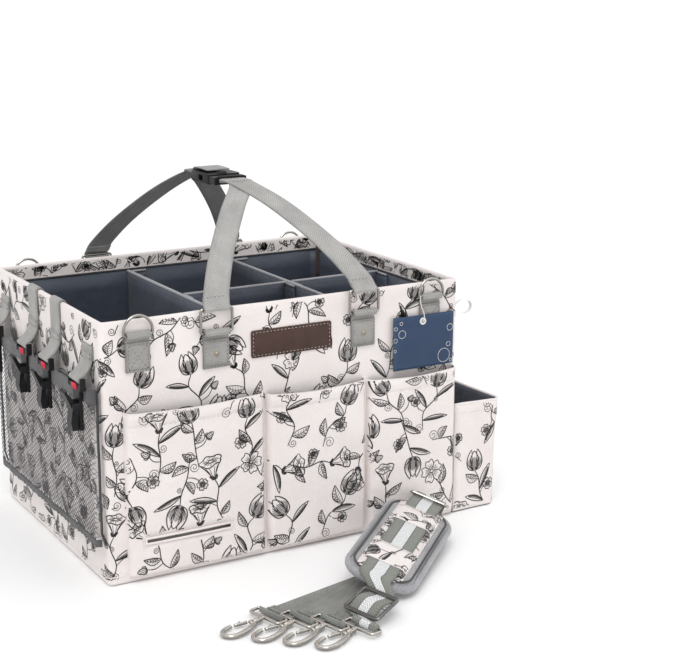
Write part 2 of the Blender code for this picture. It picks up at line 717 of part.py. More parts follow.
def make_strap_webbing(pad, fan, slider):
    """One body: ring 4 to the slider, over the pad, round the far ring, under the pad, then the fan."""
    top = PAD_THICK / 2 + GAP + STRAP_THICK
    away, fan_side, pad_side = fan.to_3x3() @ X, fan.to_3x3() @ Y, pad.to_3x3() @ Y
    slider_side = slider.to_3x3() @ Y
    weave = STRAP_WIRE + GAP + STRAP_THICK / 2
    half = SLIDER_HALF[0]
    loop = wrap(inner_bar(fan, HOOK_RINGS[3]), away, Z, STRAP_WRAP, 250, 70, 8)
    far = wrap((FAR_RING_X, 0, 0), X, Z, STRAP_WRAP, 75, -100, 7)
    far = [pad @ point for point in far]
    points, sides = [loop[-1]], [fan_side]
    for x, z in ((-half, -weave), (0, weave), (half, -weave)):
        points.append(slider @ Vector((x, 0, z)))
        sides.append(slider_side)
    end = -PAD_LENGTH / 2
    points.append(pad @ Vector((end - 0.004, 0, top)))
    sides.append(slider_side.lerp(pad_side, 0.6))
    for x in (end + 0.008, end + 0.030, 0.030, 0.076):
        points.append(pad @ Vector((x, 0, top)))
        sides.append(pad_side)
    over, over_sides = strap_band([*points, far[0]], [*sides, pad_side], 3)
    join = fan_point(fan, FAN_JOIN[0], FAN_JOIN[1], LEG_HEIGHT + STRAP_THICK / 2)
    points, sides = [far[-1]], [pad_side]
    for x, y, drop in ((0.080, 0.000, 0.003), (0.030, 0.008, 0.004)):
        points.append(pad @ Vector((x, y, -top - drop)))
        sides.append(pad_side)
    points += [join + away * 0.016 + Z * STRAP_THICK, join]
    under, under_sides = strap_band(points, [*sides, fan_side, fan_side], 4)
    path = loop[:-1] + over[:-1] + far[:-1] + under
    sides = [fan_side] * (len(loop) - 1) + over_sides[:-1] + [pad_side] * (len(far) - 1) + under_sides
    main = ribbon(path, sides, STRAP_WIDTH, STRAP_THICK)
    legs = []
    for number, ring in enumerate(HOOK_RINGS[:3]):
        start = fan_point(fan, FAN_JOIN[0], FAN_JOIN[1] + 0.004, LEG_HEIGHT + STRAP_THICK * 0.6 * number)
        legs.append(leg_to_ring(fan, ring, start))
    piece("shoulder_webbing", carved(main, joins=legs), "webbing", PAD_CENTRE)


def hook_frame(fan, ring):
    """+X runs from the ring's outer bar along the hook, and dips until the hook's end lies down."""
    along, across = ring
    start = fan_point(fan, along + STRAP_RING_HALF, across, RING_HEIGHT_OFF_FLOOR)
    reach = BARREL_START + BARREL_LENGTH + HOOK_LENGTH
    dip = math.asin((RING_HEIGHT_OFF_FLOOR - HOOK_WIRE - GAP) / reach)
    turn = Matrix.Rotation(FAN_YAW + math.pi, 4, "Z")
    return Matrix.Translation(start) @ turn @ Matrix.Rotation(dip, 4, "Y")


def hook_ring(fan, ring, hook):
    along, across = ring
    corners = []
    for ahead, out in ((0, 0), (0, 2), (1, 2), (1, 0)):
        spot = (along + STRAP_RING_HALF * out, across + STRAP_RING_DEPTH * ahead)
        corners.append(fan_point(fan, *spot, RING_HEIGHT_OFF_FLOOR))
    loop = wire(rounded_loop(corners, STRAP_RING_CORNER), Z, STRAP_WIRE)
    post = cylinder(hook @ Vector((-GAP, 0, 0)), hook @ Vector((POST_LENGTH, 0, 0)), POST_RADIUS, 10)
    return carved(loop, joins=[post])


def hook_loop():
    """The open hook: out along one side, round the end, and back to a nose short of the barrel."""
    start = BARREL_START + BARREL_LENGTH - 0.001
    end = start + HOOK_LENGTH
    half = HOOK_HALF_WIDTH
    through = [
        Vector((start, 0.0, 0)),
        Vector((start + 0.004, 0.0035, 0)),
        Vector((start + 0.014, half * 0.82, 0)),
        Vector((end - half * 1.25, half, 0)),
        Vector((end - half * 0.35, half * 0.72, 0)),
        Vector((end, 0, 0)),
        Vector((end - half * 0.35, -half * 0.72, 0)),
        Vector((end - half * 1.25, -half, 0)),
        Vector((end - half * 1.75, -half * 0.97, 0)),
    ]
    return wire(smooth_path(through, 2), Z, HOOK_WIRE, closed=False)


def hook_body():
    start, length = BARREL_START, BARREL_LENGTH
    barrel = cylinder((start, 0, 0), (start + length, 0, 0), BARREL_RADIUS, 12)
    bore = cylinder((start - WALL, 0, 0), (start + length - 0.0022, 0, 0), BARREL_BORE, 10)
    ear = box((start + length - 0.002, -0.0037, -0.0014), (start + length + 0.003, 0.0015, 0.0014))
    return carved(carved(barrel, joins=[hook_loop(), ear]), cuts=[bore])


def gate_pivot():
    return Vector((BARREL_START + BARREL_LENGTH + 0.0046, -0.0042, 0))


def hook_gate():
    """A straight bar from its pivot beside the barrel to the hook's nose."""
    first = gate_pivot()
    end = BARREL_START + BARREL_LENGTH - 0.001 + HOOK_LENGTH
    nose = Vector((end - HOOK_HALF_WIDTH * 1.75, -HOOK_HALF_WIDTH * 0.97, 0))
    ahead = (nose - first).normalized()
    return cylinder(first, nose - ahead * (HOOK_WIRE + 0.0008), GATE_WIRE, WIRE_SIDES)


def make_hooks(fan):
    for number, ring in enumerate(HOOK_RINGS, 1):
        frame = hook_frame(fan, ring)
        origin = frame.translation
        piece(f"hook_ring_{number}", hook_ring(fan, ring, frame), "steel", origin, smooth=True)
        body = hook_body()
        bmesh.ops.transform(body, matrix=frame, verts=body.verts)
        piece(f"hook_body_{number}", body, "steel", origin, smooth=True)
        gate = hook_gate()
        bmesh.ops.transform(gate, matrix=frame, verts=gate.verts)
        piece(f"hook_gate_{number}", gate, "steel", frame @ gate_pivot(), smooth=True)


def make_shoulder_strap():
    pad, fan, slider = pad_frame(), fan_frame(), slider_frame()
    make_pad(pad)
    make_far_ring(pad)
    make_near_slider(slider)
    make_strap_webbing(pad, fan, slider)
    make_hooks(fan)


clear_scene()
make_walls()
make_lining()
make_front_pockets()
make_side_pocket()
make_back_pocket()
make_mesh_pocket()
make_dividers()
make_carry_hardware()
make_clips()
make_shoulder_strap()
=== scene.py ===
"""Looks of a soft-sided cleaning caddy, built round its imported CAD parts.

Metres, +Z up. The origin is the centre of the base's underside and the front faces -Y.
"""

import math
import random

import bmesh
import bpy
from mathutils import Matrix, Vector, noise


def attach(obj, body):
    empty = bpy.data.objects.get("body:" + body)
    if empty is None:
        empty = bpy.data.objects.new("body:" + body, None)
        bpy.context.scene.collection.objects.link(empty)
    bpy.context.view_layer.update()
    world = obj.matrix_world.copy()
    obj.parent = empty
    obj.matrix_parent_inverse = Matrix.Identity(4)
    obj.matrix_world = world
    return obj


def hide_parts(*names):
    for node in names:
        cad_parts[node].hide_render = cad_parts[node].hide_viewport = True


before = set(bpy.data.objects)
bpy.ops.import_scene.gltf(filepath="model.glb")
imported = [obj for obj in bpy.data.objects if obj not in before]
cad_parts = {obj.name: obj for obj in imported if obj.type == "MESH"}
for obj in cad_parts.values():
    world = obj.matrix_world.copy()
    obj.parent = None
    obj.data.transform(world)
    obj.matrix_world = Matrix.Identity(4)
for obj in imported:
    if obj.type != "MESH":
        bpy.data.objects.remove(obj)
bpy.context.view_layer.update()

X, Y, Z = Vector((1, 0, 0)), Vector((0, 1, 0)), Vector((0, 0, 1))

# Body.
HALF_X = 0.200
HALF_Y = 0.150
TOP = 0.262
WALL = 0.005
CORNER = 0.006
FOOT_ROUND = 0.004
RIM_ROUND = 0.0025
FACING_FOOT = 0.245
SKIN = 0.0002

# Webbing and wire, as in the CAD.
WEB_THICK = 0.0018
WIRE = 0.0014
BAR_OUT = 0.0045
WRAP = 0.00265
HANDLE_X = 0.0825
HANDLE_BAR_Z = 0.2400
RING_HALF = 0.0167
RING_RISE = 0.0235
D_X = 0.1635
D_BAR_Z = 0.2475
D_HALF = 0.0146
D_STRAIGHT = 0.0040
APEX_X = 0.006
APEX_Z = 0.3615

# Clips.
CLIP_Y = (0.120, 0.030, -0.035, -0.120)
CLIP_TOPS = (0.236, TOP, TOP, 0.236)
CLIP_AXIS = (-0.2130, 0.2045)

# Shoulder strap.
PAD_CENTRE = (0.0685, -0.2480, 0.0245)
PAD_HALF = (0.086, 0.0375)
PAD_THICK = 0.014
STRAP_WIDTH = 0.034
STRAP_THICK = 0.0015
STRAP_WIRE = 0.0015
STRAP_WRAP = 0.0026
STRAP_RING_HALF = 0.0195
STRAP_RING_DEPTH = 0.0117
FAN_ORIGIN = (-0.1120, -0.2745, 0.0)
FAN_YAW = math.radians(14)
RING_LIFT = 0.0048
HOOK_RINGS = ((0.000, 0.000), (0.0252, 0.015), (0.0504, 0.030), (0.0756, 0.045))


# ---------------------------------------------------------------- materials


class Paint:
    """A node material while it is put together."""

    def __init__(self, name, roughness=0.7, metallic=0.0, sheen=0.0):
        self.material = bpy.data.materials.new(name)
        self.material.use_nodes = True
        self.tree = self.material.node_tree
        self.shader = self.tree.nodes["Principled BSDF"]
        self.shader.inputs["Roughness"].default_value = roughness
        self.shader.inputs["Metallic"].default_value = metallic
        self.shader.inputs["Sheen Weight"].default_value = sheen
        coordinates = self.node("ShaderNodeTexCoord")
        self.place, self.uv = coordinates.outputs["Object"], coordinates.outputs["UV"]

    def node(self, kind, inputs=(), **settings):
        made = self.tree.nodes.new(kind)
        for key, value in settings.items():
            setattr(made, key, value)
        for key, value in dict(inputs).items():
            if isinstance(value, bpy.types.NodeSocket):
                self.tree.links.new(value, made.inputs[key])
            else:
                made.inputs[key].default_value = value
        return made

    def math(self, operation, first, second=0.0):
        return self.node("ShaderNodeMath", {0: first, 1: second}, operation=operation).outputs[0]

    def noise(self, scale, detail=3.0, where=None, rough=0.5):
        inputs = {"Vector": where or self.place, "Scale": scale, "Detail": detail, "Roughness": rough}
        return self.node("ShaderNodeTexNoise", inputs).outputs["Fac"]

    def wave(self, period, direction, where=None, warp=0.0):
        inputs = {"Vector": where or self.place, "Scale": math.pi / 10 / period, "Distortion": warp}
        return self.node("ShaderNodeTexWave", inputs, bands_direction=direction).outputs["Fac"]

    def ramp(self, factor, *stops, interpolation="LINEAR"):
        made = self.node("ShaderNodeValToRGB", {"Fac": factor})
        made.color_ramp.interpolation = interpolation
        while len(made.color_ramp.elements) < len(stops):
            made.color_ramp.elements.new(0.5)
        for element, (at, colour) in zip(made.color_ramp.elements, stops):
            element.position = at
            element.color = (*colour, 1) if len(colour) == 3 else colour
        return made.outputs["Color"]

    def mix(self, factor, first, second, blend="MIX"):
        inputs = {0: factor, 6: first, 7: second}
        return self.node("ShaderNodeMix", inputs, data_type="RGBA", blend_type=blend).outputs[2]

    def level(self, factor, low, high):
        """The factor stretched to run from low to high."""
        inputs = {"Value": factor, "To Min": low, "To Max": high}
        return self.node("ShaderNodeMapRange", inputs).outputs["Result"]

    def bump(self, height, strength, distance, below=None):
        inputs = {"Height": height, "Strength": strength, "Distance": distance}
        if below:
            inputs["Normal"] = below
        return self.node("ShaderNodeBump", inputs).outputs["Normal"]

    def done(self, colour=None, normal=None, roughness=None):
        for key, value in (("Base Color", colour), ("Normal", normal), ("Roughness", roughness)):
            if value is not None:
                self.tree.links.new(value, self.shader.inputs[key])
        return self.material


def worn(paint, colour, lighter, share=0.5):
    """Lightens the edges a little, where hands and shelves rub."""
    edge = paint.node("ShaderNodeNewGeometry").outputs["Pointiness"]
    return paint.mix(paint.math("MULTIPLY", paint.level(edge, -4.0, 5.0), share), colour, lighter)


def level_coordinates(paint):
    """Across and up, whichever wall the cloth is on."""
    parts = paint.node("ShaderNodeSeparateXYZ", {0: paint.place}).outputs
    across = paint.math("ADD", parts["X"], parts["Y"])
    return paint.node("ShaderNodeCombineXYZ", {"X": across, "Y": parts["Z"]}).outputs[0]


def cloth_material(name, dark, light, weave, rough, sheen=0.1, creases=0.5):
    paint = Paint(name, rough, sheen=sheen)
    where = level_coordinates(paint)
    warp, weft = paint.wave(weave, "X", where, 0.4), paint.wave(weave, "Y", where, 0.4)
    threads = paint.math("MULTIPLY", warp, weft)
    tone = paint.ramp(paint.noise(14.0, 4.0), (0.30, dark), (0.72, light))
    fleck = paint.ramp(paint.noise(900.0, 2.0), (0.35, (0.93,) * 3), (0.65, (1.0,) * 3))
    colour = paint.mix(1.0, tone, fleck, "MULTIPLY")
    thread_tone = paint.ramp(threads, (0.0, (0.955,) * 3), (0.8, (1.0,) * 3))
    colour = paint.mix(1.0, colour, thread_tone, "MULTIPLY")
    soft = paint.bump(paint.noise(26.0, 3.0, rough=0.55), creases, 0.0035)
    fine = paint.bump(threads, 0.35, 0.00018, soft)
    dull = paint.level(paint.noise(40.0), rough - 0.08, rough + 0.08)
    return paint.done(colour, fine, dull)


def webbing_material(name, dark, light, stripes=None):
    """Ribbed webbing. Its UV is the share across the band and the run along it in band widths."""
    paint = Paint(name, 0.85, sheen=0.25)
    parts = paint.node("ShaderNodeSeparateXYZ", {0: paint.uv}).outputs
    zigzag = paint.math("PINGPONG", parts["X"], 0.125)
    slant = paint.math("ADD", parts["Y"], zigzag)
    twill = paint.node("ShaderNodeCombineXYZ", {"X": slant}).outputs[0]
    ribs = paint.wave(0.085, "X", twill, 0.3)
    cords = paint.wave(0.055, "X", paint.uv)
    tone = paint.ramp(paint.noise(45.0, 3.0), (0.3, dark), (0.7, light))
    if stripes:
        tone = paint.ramp(parts["X"], *stripes, interpolation="CONSTANT")
    # Painted shade and highlight: the colour is darkened in the rib grooves and lifted on the rib tops.
    painted_shade = paint.ramp(ribs, (0.1, (0.68,) * 3), (0.75, (1.06,) * 3))
    colour = paint.mix(1.0, tone, painted_shade, "MULTIPLY")
    fuzz = paint.ramp(paint.noise(700.0, 2.0), (0.3, (0.88,) * 3), (0.7, (1.0,) * 3))
    colour = paint.mix(1.0, colour, fuzz, "MULTIPLY")
    middle = paint.math("ABSOLUTE", paint.math("SUBTRACT", parts["X"], 0.5))
    selvedge = paint.ramp(middle, (0.43, (1.0,) * 3), (0.49, (0.72,) * 3))
    colour = paint.mix(1.0, colour, selvedge, "MULTIPLY")
    normal = paint.bump(ribs, 0.6, 0.00045, paint.bump(cords, 0.25, 0.0002))
    return paint.done(colour, normal)


def metal_material(name, dark, light, rough):
    paint = Paint(name, rough, metallic=1.0)
    tone = paint.ramp(paint.noise(120.0, 4.0), (0.3, dark), (0.7, light))
    # Painted shade and reflection: faces turned down are darkened and faces turned up stay bright.
    facing = paint.node("ShaderNodeSeparateXYZ", {0: paint.node("ShaderNodeNewGeometry").outputs["Normal"]})
    painted_shade = paint.ramp(facing.outputs["Z"], (0.0, (0.32,) * 3), (0.30, (0.55,) * 3), (0.75, (1.0,) * 3))
    tone = paint.mix(1.0, tone, painted_shade, "MULTIPLY")
    tone = worn(paint, tone, (1.0, 0.97, 0.92, 1), 0.15)
    scuffs = paint.noise(600.0, 2.0)
    dull = paint.level(paint.noise(260.0, 3.0), rough - 0.06, rough + 0.12)
    return paint.done(tone, paint.bump(scuffs, 0.05, 0.0001), dull)


def plastic_material(name, dark, light, rough=0.34):
    paint = Paint(name, rough)
    paint.shader.inputs["Specular IOR Level"].default_value = 0.12
    tone = paint.ramp(paint.noise(60.0, 3.0), (0.3, dark), (0.7, light))
    tone = worn(paint, tone, (*[2 * x + 0.01 for x in light], 1), 0.30)
    grain = paint.bump(paint.noise(1500.0, 2.0), 0.25, 0.00012)
    dull = paint.level(paint.noise(90.0), rough - 0.07, rough + 0.12)
    return paint.done(tone, grain, dull)


def leather_material(name, dark, light):
    paint = Paint(name, 0.52)
    paint.shader.inputs["Specular IOR Level"].default_value = 0.25
    cells = paint.node("ShaderNodeTexVoronoi", {"Vector": paint.place, "Scale": 900.0}).outputs["Distance"]
    tone = paint.ramp(paint.noise(70.0, 4.0), (0.3, dark), (0.7, light))
    pores = paint.ramp(cells, (0.0, (0.80,) * 3), (0.5, (1.0,) * 3))
    colour = worn(paint, paint.mix(1.0, tone, pores, "MULTIPLY"), (0.20, 0.12, 0.09, 1), 0.3)
    return paint.done(colour, paint.bump(cells, 0.4, 0.0002), paint.level(cells, 0.38, 0.6))


def spacer_material(name, dark, light):
    """Knitted spacer cloth: small open cells over a darker ground."""
    paint = Paint(name, 0.9, sheen=0.3)
    where = paint.node("ShaderNodeMapping", {"Vector": paint.place, "Scale": (1.0, 1.0, 0.6)}).outputs[0]
    cells = paint.node("ShaderNodeTexVoronoi", {"Vector": where, "Scale": 760.0}).outputs["Distance"]
    tone = paint.ramp(cells, (0.10, dark), (0.42, light))
    drift = paint.ramp(paint.noise(50.0), (0.3, (0.86,) * 3), (0.7, (1.0,) * 3))
    return paint.done(paint.mix(1.0, tone, drift, "MULTIPLY"), paint.bump(cells, 0.7, 0.0006))


def card_material(name, dark, light):
    paint = Paint(name, 0.5)
    paint.shader.inputs["Specular IOR Level"].default_value = 0.25
    tone = paint.ramp(paint.noise(30.0, 4.0), (0.3, dark), (0.7, light))
    fibres = paint.bump(paint.noise(800.0, 3.0), 0.12, 0.0001)
    return paint.done(worn(paint, tone, (0.10, 0.16, 0.26, 1), 0.2), fibres)


def floor_material():
    paint = Paint("floor_paper", 0.9)
    tone = paint.ramp(paint.noise(3.0, 2.0), (0.3, (0.93, 0.93, 0.93)), (0.7, (0.95, 0.95, 0.95)))
    return paint.done(tone)


CLOTH = cloth_material("printed_cloth", (0.80, 0.735, 0.715), (0.88, 0.82, 0.80), 0.0007, 0.46)
INK = cloth_material("ink_print", (0.006, 0.0055, 0.006), (0.018, 0.016, 0.017), 0.0007, 0.6, creases=0.2)
SLATE = cloth_material(
    "lining_slate", (0.044, 0.054, 0.078), (0.074, 0.088, 0.118), 0.0006, 0.42, creases=0.9
)
SLATE_BOARD = cloth_material("divider_slate", (0.050, 0.060, 0.085), (0.085, 0.098, 0.13), 0.0006, 0.45)
DARK_TRIM = cloth_material("dark_binding", (0.018, 0.019, 0.024), (0.04, 0.042, 0.05), 0.0005, 0.7)
PIPING = cloth_material("grey_piping", (0.30, 0.30, 0.32), (0.44, 0.44, 0.46), 0.0005, 0.6)
BROWN = leather_material("brown_leather", (0.028, 0.0125, 0.011), (0.048, 0.024, 0.021))
BROWN_TRIM = cloth_material("brown_binding", (0.05, 0.03, 0.028), (0.09, 0.058, 0.052), 0.0006, 0.6)
WEB = webbing_material("grey_webbing", (0.33, 0.325, 0.31), (0.43, 0.42, 0.405))
# Painted light and shade: the same grey webbing as grey_webbing, lightened for the front handle and darkened
# for the back handle.
WEB_PAINTED_LIT = webbing_material("webbing_painted_lit", (0.38, 0.372, 0.36), (0.50, 0.49, 0.475))
WEB_PAINTED_SHADE = webbing_material("webbing_painted_shade", (0.20, 0.20, 0.202), (0.28, 0.28, 0.282))
OLIVE, WHITE = (0.245, 0.255, 0.225), (0.80, 0.81, 0.82)
STRIPE_STOPS = (
    (0.0, OLIVE),
    (0.30, (0.12, 0.13, 0.115)),
    (0.325, WHITE),
    (0.675, (0.12, 0.13, 0.115)),
    (0.70, OLIVE),
)
STRIPED = webbing_material("striped_webbing", OLIVE, OLIVE, STRIPE_STOPS)
UNDER = webbing_material("plain_webbing_back", (0.20, 0.205, 0.19), (0.29, 0.295, 0.275))
NET = cloth_material("net_yarn", (0.085, 0.082, 0.086), (0.16, 0.155, 0.162), 0.0004, 0.7)
BAND = webbing_material("band_webbing", (0.075, 0.075, 0.08), (0.12, 0.12, 0.126))
NICKEL = metal_material("nickel", (0.50, 0.475, 0.43), (0.68, 0.65, 0.60), 0.20)
BRASS = metal_material("rivet_brass", (0.52, 0.42, 0.25), (0.70, 0.60, 0.40), 0.28)
CHROME_DARK = metal_material("dark_chrome", (0.05, 0.05, 0.055), (0.11, 0.11, 0.115), 0.22)
BLACK = plastic_material("black_plastic", (0.004, 0.004, 0.0045), (0.010, 0.010, 0.011))
RED = plastic_material("red_label", (0.40, 0.018, 0.035), (0.55, 0.03, 0.055), 0.5)
WHITE_THREAD = cloth_material("white_thread", (0.72, 0.70, 0.66), (0.85, 0.83, 0.80), 0.0005, 0.7)
CLOTH_THREAD = cloth_material("cloth_thread", (0.60, 0.55, 0.53), (0.74, 0.69, 0.67), 0.0005, 0.7)
GREY_THREAD = cloth_material("grey_thread", (0.055, 0.055, 0.055), (0.09, 0.09, 0.09), 0.0005, 0.7)
SPACER = spacer_material("spacer_mesh", (0.19, 0.19, 0.20), (0.37, 0.37, 0.39))
TAG = card_material("navy_card", (0.018, 0.037, 0.080), (0.025, 0.047, 0.098))
CLEAR = plastic_material("loop_film", (0.55, 0.56, 0.55), (0.70, 0.71, 0.70), 0.25)


# ---------------------------------------------------------------- shapes


class Shape:
    """The points and faces of one piece while it is put together."""

    SECTION = (
        (-0.5, 0.0), (-0.475, 0.5), (-0.25, 0.5), (0.0, 0.5), (0.25, 0.5), (0.475, 0.5),
        (0.5, 0.0), (0.475, -0.5), (0.25, -0.5), (0.0, -0.5), (-0.25, -0.5), (-0.475, -0.5),
    )

    def __init__(self):
        self.points, self.faces, self.uvs, self.slots = [], [], [], []

    def add(self, points, faces, slot=0, uvs=None):
        base = len(self.points)
        self.points += [Vector(point) for point in points]
        self.uvs += uvs or [(0.0, 0.0)] * len(points)
        self.faces += [[base + index for index in face] for face in faces]
        self.slots += [slot] * len(faces)

    def slab(self, spot, us, vs, thick, hole=None, closed=False, slot=0, inner=None):
        """A sheet with thickness: spot(u, v) gives a point of its face and the normal there."""
        wide, tall = len(us), len(vs)
        points, uvs, faces, slots = [], [], [], []
        for v in vs:
            for u in us:
                point, normal = spot(u, v)
                points += [point, point - normal * thick]
                uvs += [(u, v)] * 2
        across = wide if closed else wide - 1
        cells = {}
        for i in range(across):
            for j in range(tall - 1):
                if not (hole and hole((us[i] + us[i + 1]) / 2, (vs[j] + vs[j + 1]) / 2)):
                    cells[i, j] = True

        def corner(i, j, side):
            return 2 * (j * wide + i % wide) + side

        for i, j in cells:
            ring = ((i, j), (i + 1, j), (i + 1, j + 1), (i, j + 1))
            faces.append([corner(*spot_, 0) for spot_ in ring])
            slots.append(slot)
            faces.append([corner(*spot_, 1) for spot_ in ring[::-1]])
            slots.append(slot if inner is None else inner)
            sides = ((0, -1), (1, 0), (0, 1), (-1, 0))
            for k, (di, dj) in enumerate(sides):
                beside = ((i + di) % wide if closed else i + di, j + dj)
                if beside not in cells:
                    first, last = ring[k], ring[(k + 1) % 4]
                    faces.append([corner(*first, 1), corner(*last, 1), corner(*last, 0), corner(*first, 0)])
                    slots.append(slot)
        base = len(self.points)
        self.points += points
        self.uvs += uvs
        self.faces += [[base + index for index in face] for face in faces]
        self.slots += slots

    def band(self, path, sides, width, thick, slot=0, cup=0.0):
        """Webbing along the path; its UV is the share across and the run in widths."""
        last = len(path) - 1
        points, uvs, faces, run = [], [], [], 0.0
        count = len(self.SECTION)
        for index, (point, side) in enumerate(zip(path, sides)):
            ahead = path[min(index + 1, last)] - path[max(index - 1, 0)]
            across, up = side.normalized(), ahead.cross(side).normalized()
            if index:
                run += (point - path[index - 1]).length / width
            for a, b in self.SECTION:
                points.append(point + across * a * width + up * (b * thick + cup * (1 - 4 * a * a)))
                uvs.append((a + 0.5, run))
            if index:
                for i in range(count):
                    j = (i + 1) % count
                    old, new = (index - 1) * count, index * count
                    faces.append([old + i, old + j, new + j, new + i])
        faces.append(list(range(count))[::-1])
        faces.append([last * count + i for i in range(count)])
        self.add(points, faces, slot, uvs)

    def tube(self, path, radius, normal=None, closed=False, sides=10, slot=0, flat=1.0):
        """Round wire along the path; flat scales it along the normal. Open ends get a flat cap."""
        count = len(path)
        points, faces = [], []
        up = normal
        for index, point in enumerate(path):
            before = point - path[index - 1] if closed or index else path[1] - path[0]
            follows = path[(index + 1) % count] - point if closed or index < count - 1 else before
            ahead = (before.normalized() + follows.normalized()).normalized()
            if up is None:
                up = ahead.orthogonal().normalized()
            if normal is None:
                up = (up - ahead * up.dot(ahead)).normalized()
            out = ahead.cross(up) / max(ahead.dot(follows.normalized()), 0.5)
            size = radius(index / (count - 1)) if callable(radius) else radius
            for side in range(sides):
                a = 2 * math.pi * side / sides
                points.append(point + (out * math.cos(a) + up * math.sin(a) * flat) * size)
        for index in range(count if closed else count - 1):
            old, new = index * sides, (index + 1) % count * sides
            for i in range(sides):
                j = (i + 1) % sides
                faces.append([old + i, old + j, new + j, new + i])
        if not closed:
            faces.append(list(range(sides))[::-1])
            faces.append([(count - 1) * sides + i for i in range(sides)])
        self.add(points, faces, slot)

    def spin(self, place, profile, sides=16, slot=0):
        """A turned form: profile is (distance along the place's +X, radius), first to last."""
        points, faces = [], []
        for x, radius in profile:
            for side in range(sides):
                a = 2 * math.pi * side / sides
                points.append(place @ Vector((x, radius * math.cos(a), radius * math.sin(a))))
        for index in range(len(profile) - 1):
            for i in range(sides):
                j = (i + 1) % sides
                old, new = index * sides, (index + 1) * sides
                faces.append([old + i, old + j, new + j, new + i])
        faces.append(list(range(sides))[::-1])
        faces.append([(len(profile) - 1) * sides + i for i in range(sides)])
        self.add(points, faces, slot)

    def stitches(self, path, out, length=0.0026, gap=0.0014, half=0.00028, slot=0):
        """Dashes of thread along the path, half sunk in the cloth whose normal is out."""
        pitch, carry = length + gap, 0.0
        for first, last in zip(path, path[1:]):
            span = (last - first).length
            if span < 1e-9:
                continue
            ahead = (last - first) / span
            side = ahead.cross(out).normalized()
            at = carry
            while at + length <= span:
                low, high = first + ahead * at, first + ahead * (at + length)
                middle = (low + high) / 2
                ring = (side * half, out * half * 1.6, -side * half, -out * half)
                points = [low, high, *(middle + spot for spot in ring)]
                faces = [(0, 2 + k, 2 + (k + 1) % 4) for k in range(4)]
                faces += [(1, 2 + (k + 1) % 4, 2 + k) for k in range(4)]
                self.add(points, faces, slot)
                at += pitch
            carry = max(0.0, at - span)

    def made(self, name, body, *materials, open_sheet=False, sharp=None, replaces=(), slot=None):
        shape = bmesh.new()
        corners = [shape.verts.new(point) for point in self.points]
        uv = shape.loops.layers.uv.new("UVMap")
        for face, index in zip(self.faces, self.slots):
            built = shape.faces.new([corners[i] for i in face])
            built.material_index = index
            built.smooth = True
            for loop, i in zip(built.loops, face):
                loop[uv].uv = self.uvs[i]
        if not open_sheet:
            bmesh.ops.recalc_face_normals(shape, faces=shape.faces)
        mesh = bpy.data.meshes.new(name)
        shape.to_mesh(mesh)
        shape.free()
        if sharp:
            mesh.set_sharp_from_angle(angle=math.radians(sharp))
        for material in materials:
            mesh.materials.append(material)
        return shown(name, mesh, body, replaces)


def shown(name, mesh, body, replaces=()):
    obj = bpy.data.objects.new(name, mesh)
    bpy.context.scene.collection.objects.link(obj)
    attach(obj, body)
    if replaces:
        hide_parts(*replaces)
    return obj


def finished(name, node, body, material, edge, angle=35):
    """The CAD node's own shape with moulded, rounded edges."""
    shape = bmesh.new()
    shape.from_mesh(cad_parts[node].data)
    bmesh.ops.remove_doubles(shape, verts=shape.verts, dist=1e-6)
    flat = math.radians(1)
    bmesh.ops.dissolve_limit(shape, angle_limit=flat, verts=shape.verts, edges=shape.edges)
    shape.verts.ensure_lookup_table()
    points = [vert.co.copy() for vert in shape.verts]
    faces = [[vert.index for vert in face.verts] for face in shape.faces]
    shape.free()
    mesh = bpy.data.meshes.new(name)
    mesh.from_pydata(points, [], faces)
    mesh.shade_smooth()
    mesh.set_sharp_from_angle(angle=math.radians(angle))
    mesh.materials.append(material)
    obj = shown(name, mesh, body, (node,))
    bevel = obj.modifiers.new("edges", "BEVEL")
    bevel.width = edge
    bevel.segments = 2
    bevel.limit_method = "ANGLE"
    bevel.angle_limit = math.radians(angle)
    bevel.harden_normals = True
    return obj


def block(shape, place, size, round_by, slot=0):
    """A rounded block centred on place, from stacked rounded outlines."""
    hx, hy, hz = (side / 2 for side in size)
    rows = []
    for share, inset in ((-1, 1), (-1, 0), (1, 0), (1, 1)):
        z = share * (hz - (0 if inset else round_by * 0.6))
        rows.append((z, round_by * 0.6 * inset))
    points, faces, count = [], [], 0
    for z, inset in rows:
        ring = []
        for sx, sy, start in ((1, 1, 0), (-1, 1, 90), (-1, -1, 180), (1, -1, 270)):
            for step in range(4):
                a = math.radians(start + 30 * step)
                cx, cy = sx * (hx - round_by), sy * (hy - round_by)
                reach = max(round_by - inset, 0.0002)
                ring.append(place @ Vector((cx + reach * math.cos(a), cy + reach * math.sin(a), z)))
        count = len(ring)
        points += ring
    for row in range(len(rows) - 1):
        for i in range(count):
            j = (i + 1) % count
            faces.append([row * count + i, row * count + j, (row + 1) * count + j, (row + 1) * count + i])
    faces.append(list(range(count))[::-1])
    faces.append([3 * count + i for i in range(count)])
    shape.add(points, faces, slot)


def smooth_path(points, steps):
    """A Catmull-Rom curve through the points, with steps pieces between neighbours."""
    points = [Vector(point) for point in points]
    padded = [2 * points[0] - points[1], *points, 2 * points[-1] - points[-2]]
    path = []
    for p0, p1, p2, p3 in zip(padded, padded[1:], padded[2:], padded[3:]):
        for step in range(steps):
            t = step / steps
            bend = (2 * p0 - 5 * p1 + 4 * p2 - p3) * t * t + (3 * p1 - p0 - 3 * p2 + p3) * t**3
            path.append(0.5 * (2 * p1 + (p2 - p0) * t + bend))
    path.append(points[-1])
    return path


def wrap(centre, out, up, radius, first, last, count):
    """Points on an arc round a bar: angle 0 is out and 90 is up, in degrees."""
    points = []
    for step in range(count + 1):
        angle = math.radians(first + (last - first) * step / count)
        points.append(Vector(centre) + (out * math.cos(angle) + up * math.sin(angle)) * radius)
    return points


